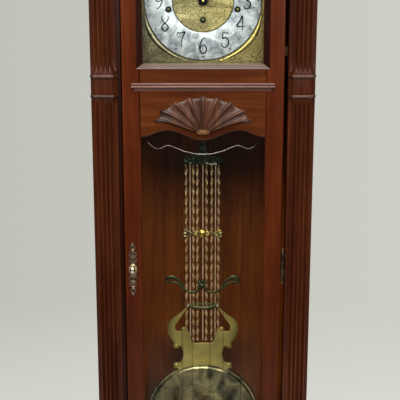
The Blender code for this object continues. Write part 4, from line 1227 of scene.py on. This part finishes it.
# a crescent band round the dial, thin at its ends, with squared tips
def crescent(side, up, front):
    w = dialWork
    start, end = (math.radians(a) for a in w["crescent"])
    thin, wide = w["arcHalf"]
    count = 36
    path, widths = [], []
    for i in range(count + 1):
        t = i / count
        half = thin + (wide - thin) * math.sin(math.pi * t ** 0.75) ** 1.5
        angle = start + (end - start) * t
        radius = w["arcRadius"] + half + 0.0040 * t ** 3
        x, z = radius * math.cos(angle), radius * math.sin(angle)
        path.append((side * min(x, dialHalf - 0.0030), 0, dialZ + up * z))
        widths.append(half / wide)
    band = wireShape(path, wide, 8, thick=lambda t: widths[round(t * count)])
    bmesh.ops.scale(band, vec=(1, 0.45, 1), verts=band.verts)
    bmesh.ops.translate(band, vec=(0, front, 0), verts=band.verts)
    tip = Vector(path[-1])
    foot = boxShape((tip.x - 0.0022, front - 0.0014, tip.z - 0.0016),
                    (tip.x + 0.0022, front, tip.z + 0.0016), 0.0004, 2)
    return [band, foot]


# the (x, z) points of each scroll from the middle of the dial, and its radius
cornerScrolls = (
    (((0.134, 0.060), (0.1325, 0.090), (0.126, 0.112), (0.114, 0.121), (0.107, 0.116), (0.110, 0.110)),
     0.0020),
    (((0.060, 0.1345), (0.085, 0.1335), (0.104, 0.1300), (0.117, 0.1335), (0.121, 0.1300), (0.116, 0.1265)),
     0.0018),
    (((0.1345, 0.1345), (0.124, 0.1290), (0.118, 0.1180), (0.122, 0.1100)), 0.0022),
)


# cast corners: a bright crescent, scrollwork and a border line
def makeSpandrels():
    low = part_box("dial_plate")[0]
    leaves = []
    # the left side takes a darker gilt as painted shade
    for side, name, finish in ((-1, "left", shadedGilt), (1, "right", giltBrass)):
        arcs = []
        for up in (-1, 1):
            arcs += crescent(side, up, low.y)
            for points, size in cornerScrolls:
                leaves.append(spandrelLeaf([(side * x, dialZ + up * z) for x, z in points], size, low.y))
        addPiece("spandrel_arcs_" + name, join(arcs), finish, "case")
        edge = side * (dialHalf - 0.0046)
        border = boxShape((min(edge, edge + side * 0.0012), low.y - 0.0010, low.z + 0.002),
                          (max(edge, edge + side * 0.0012), low.y + 0.0002, dialZ + dialHalf - 0.002), 0.0004)
        addPiece("dial_border_" + name, border, finish, "case")
    addPiece("spandrel_scrolls", join(leaves), etched, "case")


paleBrass = metalFinish("paleBrass", dict(brassTone, light=(0.90, 0.82, 0.62), dark=(0.62, 0.54, 0.36),
                                          roughness=(0.30, 0.42)))
medalBrass = metalFinish("medalBrass", dict(brassTone, light=(0.72, 0.50, 0.13), dark=(0.40, 0.26, 0.05),
                                            roughness=(0.26, 0.40)))
giltBrass = metalFinish("giltBrass", dict(brassTone, light=(0.94, 0.74, 0.24), dark=(0.60, 0.44, 0.12),
                                          roughness=(0.28, 0.42)), size=70.0)
# painted shade: a darker, greyer copy of the gilt for the left of the dial
shadedGilt = metalFinish("shadedGilt", dict(brassTone, light=(0.40, 0.36, 0.22), dark=(0.17, 0.15, 0.09),
                                        roughness=(0.30, 0.45)), size=70.0)


# the arch of the dial: a domed roundel with a rolled rim and a ring of small bosses
def makeMoonDisc():
    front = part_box("dial_plate")[0].y
    z = dialZ + dialWork["roundelRise"]
    roundel = [(0.0001, 0.0030), (0.020, 0.0026), (0.036, 0.0012), (0.0372, 0.0030), (0.0392, 0.0038),
               (0.0412, 0.0030), (0.0424, 0.0), (0.0001, 0.0)]
    parts = [turnedShape(roundel, facing(0, front, z), 72)]
    for px, pz in arcPoints(0, z, 0.024, 0, 360, 12)[:-1]:
        petal = [(0.0001, 0.0020), (0.0030, 0.0014), (0.0042, 0), (0.0001, 0)]
        parts.append(turnedShape(petal, facing(px, front - 0.0022, pz), 14))
    addPiece("arch_roundel", join(parts), giltBrass, "case")


# pierced, blackened hands on a turned brass boss
def makeHands():
    for body in ("hour", "minute"):
        node = body + "_hand"
        coverNode(node, blackSteel, body, 0.00025, 1)
    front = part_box("minute_hand")[0].y
    boss = [(0.0001, 0.0013), (0.0022, 0.0011), (0.0032, 0.0004), (0.0034, 0.0), (0.0001, 0.0)]
    hub = turnedShape(boss, facing(0, front + 0.0004, dialZ), 24)
    addPiece("hand_boss", hub, giltBrass, "minute")


makeDial()
makeHands()
print("dial ready")


sides = ("left", "centre", "right")


def makeMovement():
    coverNode("seat_board", woodFinish("seatWood", "X", 55.5, plyTone), "case", 0.001)
    coverNode("movement_frame", brass, "case", 0.0003, 1)
    for side in sides:
        coverNode("winding_drum_" + side, agedBrass, "drum_" + side, 0.0003, 1)
    coverNode("escape_wheel", brass, "escape", 0.0001, 1)
    coverNode("pallet_anchor", steel, "anchor", 0.0002, 1)
    coverNode("strike_hammers", brass, "hammers", 0.0004, 1)
    coverNode("chime_rods", blackSteel, "case", 0.0004, 1)


driveWork = {
    "shell": 0.030,             # radius of a weight
    "cable": 0.0006,
    "halfSpacing": 0.0221,
    "travel": 0.87,
    "pulleyZ": 0.665,
    "y": -0.022,
    "top": 0.615, "bottom": 0.41,
    "drums": {"left": 1.681, "centre": 1.658, "right": 1.681},     # where the cables end, at the drums
}


# a polished shell with turned caps, under a stirrup that holds the pin of a grooved pulley
def makeWeight(side):
    w = driveWork
    low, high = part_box("weight_" + side)
    x = (low.x + high.x) / 2
    top, r = w["top"], w["shell"]
    profile = [(0.0001, top), (0.0050, top), (0.0080, top - 0.0010), (0.0200, top - 0.0020),
               (r - 0.0012, top - 0.0042), (r, top - 0.0060), (r, top - 0.0090), (r - 0.0014, top - 0.0104),
               (r - 0.0014, top - 0.0124), (r - 0.0002, top - 0.0136), (r - 0.0010, top - 0.0150)]
    bottom = [(radius, w["bottom"] + (top - height)) for radius, height in reversed(profile)]
    shell = turnedShape(profile + bottom, Matrix.Translation((x, w["y"], 0)), 64)
    body = "weight_" + side + "_body"
    addPiece("weight_shell_" + side, shell, weightBrass, body, ["weight_" + side], sharp=30)
    strap = []
    for turn in (-1, 1):
        arm = [(x, w["y"] + turn * 0.0002, top - 0.002), (x, w["y"] + turn * 0.0010, top + 0.010),
               (x, w["y"] + turn * 0.0066, top + 0.020), (x, w["y"] + turn * 0.0072, top + 0.034),
               (x, w["y"] + turn * 0.0072, w["pulleyZ"] + 0.0042)]
        band = wireShape(through(arm, 5), 0.0018, 8)
        bmesh.ops.scale(band, vec=(1.9, 1, 1), space=Matrix.Translation((-x, 0, 0)), verts=band.verts)
        strap.append(band)
    stem = [(0.0001, top + 0.012), (0.0024, top + 0.011), (0.0030, top + 0.006), (0.0042, top + 0.002),
            (0.0052, top - 0.001), (0.0001, top - 0.001)]
    strap.append(turnedShape(stem, Matrix.Translation((x, w["y"], 0)), 24))
    pin = [(0.0001, 0.0096), (0.0022, 0.0092), (0.0026, 0.0078), (0.0016, 0.0076), (0.0016, -0.0076),
           (0.0026, -0.0078), (0.0022, -0.0092), (0.0001, -0.0096)]
    strap.append(turnedShape(pin, facing(x, w["y"], w["pulleyZ"]), 20))
    addPiece("stirrup_" + side, join(strap), brass, body)
    coverNode("pulley_" + side, brass, "pulley_" + side + "_body", 0.0003, 1)


# a steel cable: two straight falls, and the turn under the pulley, which rides with the weight
def makeCable(side):
    w = driveWork
    low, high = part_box("cable_" + side)
    x, top = (low.x + high.x) / 2, high.z
    drumZ = w["drums"][side]
    falls = []
    for turn in (-1, 1):
        end = min(top, drumZ + (0.003 if turn < 0 else 0))
        points = [(x + turn * w["halfSpacing"], w["y"], w["pulleyZ"] + (end - w["pulleyZ"]) * i / 12)
                  for i in range(13)]
        falls.append(wireShape(points, w["cable"], 8))
    piece = addPiece("cable_falls_" + side, join(falls), cableSteel, "case", ["cable_" + side])
    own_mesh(piece)
    loop = wireShape([(px, w["y"], pz) for px, pz in
                      arcPoints(x, w["pulleyZ"], w["halfSpacing"], 180, 360, 28)], w["cable"], 8)
    addPiece("cable_turn_" + side, loop, cableSteel, "weight_" + side + "_body")


weightBrass = metalFinish("weightBrass", dict(brassTone, light=(0.82, 0.62, 0.30), dark=(0.58, 0.42, 0.18),
                                              roughness=(0.08, 0.18)), size=12.0)
cableSteel = metalFinish("cableSteel", dict(steelTone, light=(0.078, 0.046, 0.023),
                                            dark=(0.034, 0.020, 0.010)), stretch=(1, 1, 3))
makeMovement()
for side in sides:
    makeWeight(side)
    makeCable(side)
print("movement and drive ready")


pendulumWork = {
    "plain": (-0.0312, 0.0004, 0.0316),
    "twisted": (-0.0408, -0.0238, -0.0132, 0.0092, 0.0222, 0.0392),
    "rodLow": 0.851, "rodHigh": 1.312,
    "rodRadius": 0.0016,
    "twistWidth": 0.0035, "twistThick": 0.0016,     # half sizes of a twisted bar
    "twistPitch": 0.0486,
    "midBar": 1.1350,
    "ahead": 0.0045,                                # how far the ornaments stand before the rods
    "bobZ": 0.64, "bobRadius": 0.148,
}


# a flat bar twisted along its length
def twistedBar(x, turn):
    w = pendulumWork
    shape = bmesh.new()
    ring = bmesh.ops.create_circle(shape, cap_ends=True, segments=8, radius=1)["verts"]
    bmesh.ops.scale(shape, vec=(w["twistWidth"], w["twistThick"], 1), verts=ring)
    shape.faces.ensure_lookup_table()
    face = shape.faces[0]
    length = w["rodHigh"] - w["rodLow"]
    steps = int(length / w["twistPitch"] * 16)
    for i in range(steps):
        face = pushed(shape, face, i == 0)
        bmesh.ops.translate(shape, vec=(0, 0, length / steps), verts=face.verts)
        bmesh.ops.rotate(shape, cent=(0, 0, 0), verts=face.verts,
                         matrix=Matrix.Rotation(turn * math.tau / 16, 3, "Z"))
    bmesh.ops.recalc_face_normals(shape, faces=shape.faces)
    bmesh.ops.translate(shape, vec=(x, pendulumY, w["rodLow"]), verts=shape.verts)
    return shape


# a flattened scroll in front of the rods, from (x, z) points; side mirrors them, then at moves them
def ornament(points, size, depth, thick=None, side=1, at=(0, 0)):
    line = [(at[0] + side * x, 0, at[1] + z) for x, z in through(points, 5)]
    wire = wireShape(line, size, 8, thick)
    bmesh.ops.scale(wire, vec=(1, depth, 1), verts=wire.verts)
    bmesh.ops.translate(wire, vec=(0, pendulumY - pendulumWork["ahead"], 0), verts=wire.verts)
    return wire


# thin at the stem and swelling to a leaf near the tip
def leafThickness(t):
    return 0.50 + 0.62 * math.exp(-((t - 0.80) / 0.15) ** 2)


# a small domed boss in front of the rods; high is its height against its radius
def bossShape(x, z, radius, high, ahead=0.0):
    y = pendulumY - pendulumWork["ahead"] - ahead
    rise = radius * high
    dome = [(0.0001, rise), (radius * 0.5, rise * 0.86), (radius * 0.86, rise * 0.5), (radius, 0.0),
            (radius * 0.9, -0.0016), (0.0001, -0.0016)]
    return turnedShape(dome, facing(x, y, z), 20)


def makeGrid():
    w = pendulumWork
    plain, twisted = [], []
    length = w["rodHigh"] - w["rodLow"]
    for x in w["plain"]:
        r = w["rodRadius"]
        profile = [(0.0001, length), (r - 0.0004, length), (r, length - 0.0004), (r, 0.0004), (r - 0.0004, 0),
                   (0.0001, 0)]
        plain.append(turnedShape(profile, Matrix.Translation((x, pendulumY, w["rodLow"])), 20))
    addPiece("grid_rods", join(plain), rodBrass, "pendulum", ["pendulum_grid"])
    for i, x in enumerate(w["twisted"]):
        twisted.append(twistedBar(x, 1 if i % 2 else -1))
    addPiece("grid_twists", join(twisted), twistBrass, "pendulum", sharp=50)
    makeCrown()
    makeMiddleOrnament()
    makeWing()
    makeCrossbars()


# the leader and the leafy crown that carries the grid
def makeCrown():
    front = pendulumY - pendulumWork["ahead"]
    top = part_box("pendulum_grid")[1].z
    leader = boxShape((-0.0036, pendulumY - 0.0012, 1.318), (0.0036, pendulumY + 0.0012, top), 0.0008, 2)
    hook = wireShape([(x, pendulumY, z) for x, z in arcPoints(0, 1.352, 0.0075, -60, 240, 20)], 0.0018, 8)
    parts = [leader, hook]
    parts.append(boxShape((-0.0450, pendulumY - 0.0032, 1.3075), (0.0450, pendulumY + 0.0028, 1.3165),
                          0.0012, 3))
    neck = [(-0.0140, 1.3300), (-0.0095, 1.3400), (-0.0060, 1.3560), (0.0060, 1.3560), (0.0095, 1.3400),
            (0.0140, 1.3300), (0.0160, 1.3160), (-0.0160, 1.3160)]
    parts.append(plateShape(neck, front, front + 0.0030, 0.0008))
    for side in (-1, 1):
        leaf = ((0.004, 1.3330), (0.016, 1.3280), (0.030, 1.3290), (0.041, 1.3255), (0.0455, 1.3190),
                (0.0405, 1.3155), (0.0370, 1.3195))
        parts.append(ornament(leaf, 0.0050, 0.55, leafThickness, side))
        for x, z in ((0.0, 1.3420), (0.012, 1.3220), (0.0235, 1.3225), (0.034, 1.3210)):
            parts.append(bossShape(side * x, z, 0.0046, 0.6, 0.0010))
    addPiece("grid_crown", join(parts), crownBronze, "pendulum", sharp=50)
    # painted highlights: pale brass studs and a pale strip, set where the crown shows white glints
    tips = [bossShape(x, 1.3125, 0.0030, 0.9, 0.0008) for x in (0.0308, 0.0095, -0.0308)]
    tips.append(boxShape((0.0150, front - 0.0026, 1.3090), (0.0345, front - 0.0008, 1.3118), 0.0004, 2))
    addPiece("crown_painted_glints", join(tips), paleBrass, "pendulum")


# a slender bar with a medallion and scrolls, halfway down the rods
def makeMiddleOrnament():
    z = pendulumWork["midBar"]
    front = pendulumY - pendulumWork["ahead"]
    bar = [boxShape((-0.0370, front - 0.0012, z - 0.0014),
                    (0.0370, pendulumY + 0.0026, z + 0.0014), 0.0005, 2)]
    for side in (-1, 1):
        upper = ((0.026, 0.0), (0.034, 0.0042), (0.0425, 0.0085), (0.0470, 0.0040), (0.0440, -0.0010),
                 (0.0410, 0.0015))
        lower = ((0.028, -0.0010), (0.0360, -0.0060), (0.0435, -0.0090), (0.0465, -0.0045))
        for leaf, size in ((upper, 0.0040), (lower, 0.0034)):
            bar.append(ornament(leaf, size, 0.7, leafThickness, side, (0, z)))
    addPiece("grid_middle_bar", join(bar), agedBrass, "pendulum", sharp=50)
    medal = [(0.0001, 0.0052), (0.0036, 0.0046), (0.0062, 0.0030), (0.0068, 0.0038), (0.0088, 0.0034),
             (0.0104, 0.0012), (0.0108, 0.0), (0.0001, 0.0)]
    parts = [turnedShape(medal, facing(-0.0020, front - 0.0006, z), 36)]
    for side in (-1, 1):
        for up in (-1, 1):
            scroll = ((0.0085, up * 0.0010), (0.0135, up * 0.0040), (0.0175, up * 0.0020),
                      (0.0150, up * 0.0002))
            parts.append(ornament(scroll, 0.0022, 0.9, side=side, at=(-0.0020, z)))
    curl = ((0.0335, -0.0065), (0.0385, -0.0015), (0.0380, 0.0050), (0.0425, 0.0075), (0.0450, 0.0040))
    parts.append(ornament(curl, 0.0034, 0.9, at=(0, z)))
    addPiece("grid_medallion", join(parts), medalBrass, "pendulum", sharp=50)


# the bracket of two leafy arms that meet in a small peak
def makeWing():
    arm = ((0.0020, 1.0010), (0.0075, 0.9930), (0.0130, 0.9850), (0.0230, 0.9812), (0.0350, 0.9825),
           (0.0460, 0.9910), (0.0550, 1.0065), (0.0655, 1.0165), (0.0770, 1.0215), (0.0865, 1.0180),
           (0.0905, 1.0120), (0.0860, 1.0070))
    vein = ((0.0470, 0.9950), (0.0560, 1.0110), (0.0680, 1.0205), (0.0790, 1.0245))
    under = ((0.0500, 0.9890), (0.0610, 1.0020), (0.0720, 1.0075), (0.0810, 1.0075), (0.0850, 1.0040))
    parts = []
    for side in (-1, 1):
        parts.append(ornament(arm, 0.0052, 0.45, leafThickness, side))
        parts.append(ornament(vein, 0.0016, 0.9, side=side))
        parts.append(ornament(under, 0.0028, 0.7, side=side))
    parts.append(bossShape(-0.0020, 0.9990, 0.0078, 0.6))
    for x, z in ((-0.0085, 1.0070), (-0.0015, 1.0110), (0.0060, 1.0070), (-0.0080, 0.9940), (0.0065, 0.9930)):
        parts.append(bossShape(x, z, 0.0046, 0.6))
    addPiece("grid_wing", join(parts), bronze, "pendulum", sharp=50)


# the bowed bar over the lyre, with a knob at each end
def makeCrossbars():
    front = pendulumY - pendulumWork["ahead"]
    bow = [(-0.0370, 0.9480), (-0.0230, 0.9415), (0, 0.9395), (0.0230, 0.9415), (0.0370, 0.9480)]
    arch = [(-0.0390, 0.9480), (-0.0220, 0.9500), (0, 0.9505), (0.0220, 0.9500), (0.0390, 0.9480)]
    parts = [ornament(bow, 0.0040, 0.6), ornament(arch, 0.0018, 1.2)]
    addPiece("grid_crossbars", join(parts), bronze, "pendulum", sharp=50)
    knobs = []
    for side in (-1, 1):
        ball = [(0.0001, 0.0062), (0.0026, 0.0056), (0.0042, 0.0034), (0.0046, 0.0008), (0.0040, -0.002),
                (0.0001, -0.002)]
        knobs.append(turnedShape(ball, facing(side * 0.0375, front - 0.0005, 0.9480), 24))
    addPiece("grid_knobs", join(knobs), paleBrass, "pendulum")


lyreWork = {
    "outerEye": (0.0682, 0.8380, 0.0078),       # middle and radius of each volute
    "innerEye": (0.0482, 0.8818, 0.0068),
    "footEye": (0.0678, 0.7835, 0.0082),
    "outer": ((0.0415, 0.9430), (0.0505, 0.9320), (0.0656, 0.9200), (0.0795, 0.9101), (0.0877, 0.8999),
              (0.0904, 0.8853), (0.0882, 0.8707), (0.0820, 0.8590), (0.0764, 0.8500)),
    "waist": ((0.0570, 0.8376), (0.0520, 0.8282), (0.0495, 0.8159), (0.0517, 0.8041), (0.0575, 0.7925)),
    "inner": ((0.0556, 0.8775), (0.0640, 0.8762), (0.0697, 0.8815), (0.0702, 0.8910), (0.0652, 0.8999),
              (0.0560, 0.9131), (0.0488, 0.9246), (0.0385, 0.9400)),
    "breast": ((0.0, 0.8460), (0.0150, 0.8450), (0.0262, 0.8480), (0.0300, 0.8580), (0.0322, 0.8690),
               (0.0385, 0.8775)),
}


# the lyre: a broad plate with two horned arms that end in volutes
def makeLyre():
    w = lyreWork
    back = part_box("pendulum_lyre")[1].y
    front = pendulumY - pendulumWork["ahead"]
    rimStart = math.degrees(math.acos(0.0600 / (pendulumWork["bobRadius"] - 0.003)))
    rim = arcPoints(0, pendulumWork["bobZ"], pendulumWork["bobRadius"] - 0.003, rimStart, 90, 12)
    half = through(w["breast"], 4)
    half += arcPoints(*w["innerEye"], 200, 20, 10)
    half += through(w["inner"], 4)
    half += through(w["outer"], 4)
    half += arcPoints(*w["outerEye"], 60, -165, 12)
    half += through(w["waist"], 4)
    half += arcPoints(*w["footEye"], 130, -100, 12)
    half += rim[:-1]
    outline = half + [(-x, z) for x, z in reversed(half) if x > 1e-5]
    parts = [plateShape(outline, front, front + 0.0050, 0.0009)]
    for x, z, radius in (w["outerEye"], w["innerEye"], w["footEye"]):
        for side in (-1, 1):
            parts.append(bossShape(side * x, z, radius * 0.62, 0.55))
    parts.append(boxShape((-0.0120, front + 0.0040, 0.7700), (0.0120, back, 0.8450), 0.0008, 2))
    addPiece("pendulum_lyre_plate", join(parts), lyreBrass, "pendulum", ["pendulum_lyre"],
             sharp=45)


# a spun disc with a bright rolled rim and shallow rings
def makeBob():
    w = pendulumWork
    front, back = (corner.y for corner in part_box("pendulum_bob"))
    r, z = w["bobRadius"], w["bobZ"]
    thick = back - front
    depth = [(0.0001, 0.0), (0.020, 0.0001), (0.045, 0.0006), (0.070, 0.0016), (0.095, 0.0030),
             (0.118, 0.0050), (0.130, 0.0066), (0.1335, 0.0068), (0.1350, 0.0050), (0.1368, 0.0058),
             (0.1385, 0.0076), (0.1400, 0.0080), (0.1415, 0.0062), (0.1440, 0.0052), (0.1465, 0.0062),
             (r - 0.0002, 0.0086), (r, 0.0110), (r - 0.0010, thick - 0.0006), (r - 0.004, thick),
             (0.0001, thick)]
    disc = turnedShape([(radius, -d) for radius, d in depth], facing(0, front, z), 160)
    addPiece("bob_disc", disc, bobBrass, "pendulum", ["pendulum_bob"], sharp=45)
    coverNode("rating_nut", brass, "nut", 0.0004, 2)


# the bob's dark blotches are painted reflection
bobBrass = spunFinish("bobBrass", (0, pendulumWork["bobZ"]), bobPaintedReflectionTone, 0.7, rings=700.0, depth=0.04)
makeGrid()
makeLyre()
makeBob()
print("pendulum ready")


roomWork = {
    "floor": (0.60, 0.605, 0.575),
    "floorRadius": 3.0,
    "backdrop": ((0.533, 0.537, 0.482), (0.604, 0.610, 0.558)),     # left and right; painted lighter to the right, where the light falls on the wall
    "spread": 0.2,                      # how far to each side those two lie
    "sky": ((-0.35, (0.04, 0.038, 0.036)), (0.0, (0.10, 0.098, 0.095)), (0.35, (0.32, 0.32, 0.31)),
            (1.0, (1.5, 1.5, 1.45))),
    "lens": 81, "place": (-0.0067, -2.122, 1.708), "tilt": 77.3,
}


# a pale floor that fades into a pale backdrop, under a bright ceiling
def makeRoom():
    w = roomWork
    mesh = bpy.data.meshes.new("floor")
    shape = bmesh.new()
    bmesh.ops.create_circle(shape, cap_ends=True, segments=96, radius=w["floorRadius"])
    shape.to_mesh(mesh)
    shape.free()
    floor = bpy.data.objects.new("floor", mesh)
    bpy.context.scene.collection.objects.link(floor)
    finish, tree, shader = startFinish("paleFloor")
    cloud = noisy(tree, 0.4, 3, 0.5)
    tint = ramp(tree, cloud, [(0.2, tuple(c * 0.97 for c in w["floor"])), (0.8, w["floor"])])
    tree.links.new(tint, shader.inputs["Base Color"])
    shader.inputs["Roughness"].default_value = 0.8
    shader.inputs["Specular IOR Level"].default_value = 0.2
    distance = tree.nodes.new("ShaderNodeVectorMath")
    distance.operation = "LENGTH"
    tree.links.new(placed(tree, 1 / w["floorRadius"], (0, 0, 0)), distance.inputs[0])
    fade = ramp(tree, distance.outputs["Value"], [(0.35, (1, 1, 1)), (0.97, (0, 0, 0))])
    tree.links.new(fade, shader.inputs["Alpha"])
    mesh.materials.append(finish)
    makeWorld()


# seen directly it is a pale backdrop, painted lighter to the right where light falls on the wall; the light
# it gives comes mostly from above
def makeWorld():
    w = roomWork
    world = bpy.data.worlds.new("studio")
    world.use_nodes = True
    tree = world.node_tree
    background = tree.nodes["Background"]
    height = spanned(tree, "Z", -1, 1, "Generated")
    sky = ramp(tree, height, [((at + 1) / 2, colour) for at, colour in w["sky"]])
    across = spanned(tree, "X", -w["spread"], w["spread"], "Generated")
    backdrop = ramp(tree, across, list(enumerate(w["backdrop"])))
    path = tree.nodes.new("ShaderNodeLightPath")
    tree.links.new(mixed(tree, "MIX", path.outputs["Is Camera Ray"], sky, backdrop),
                   background.inputs["Color"])
    bpy.context.scene.world = world


def addLight(name, place, target, size, power):
    light = bpy.data.lights.new(name, "AREA")
    light.shape = "RECTANGLE"
    light.size, light.size_y = size
    light.energy = power
    lamp = bpy.data.objects.new(name, light)
    lamp.location = place
    lamp.rotation_euler = (Vector(target) - Vector(place)).to_track_quat("-Z", "Y").to_euler()
    bpy.context.scene.collection.objects.link(lamp)


def makeCamera():
    w = roomWork
    lens = bpy.data.cameras.new("camera")
    lens.lens = w["lens"]
    lens.clip_end = 1500
    camera = bpy.data.objects.new("camera", lens)
    camera.location = w["place"]
    camera.rotation_euler = (math.radians(w["tilt"]), 0, 0)
    bpy.context.scene.collection.objects.link(camera)
    bpy.context.scene.camera = camera


makeRoom()
addLight("keyLight", (-0.25, -2.3, 3.0), (0, 0, 1.35), (2.0, 1.0), 62)
addLight("sideLight", (-2.2, -1.9, 2.6), (0, 0, 1.4), (0.8, 1.6), 24)
addLight("fillLight", (1.7, -2.6, 2.5), (0, 0, 1.4), (1.0, 1.6), 44)
addLight("topLight", (0.2, -1.2, 4.0), (0, 0.1, 1.5), (1.6, 1.0), 40)
makeCamera()
bpy.context.scene.view_settings.view_transform = "Standard"
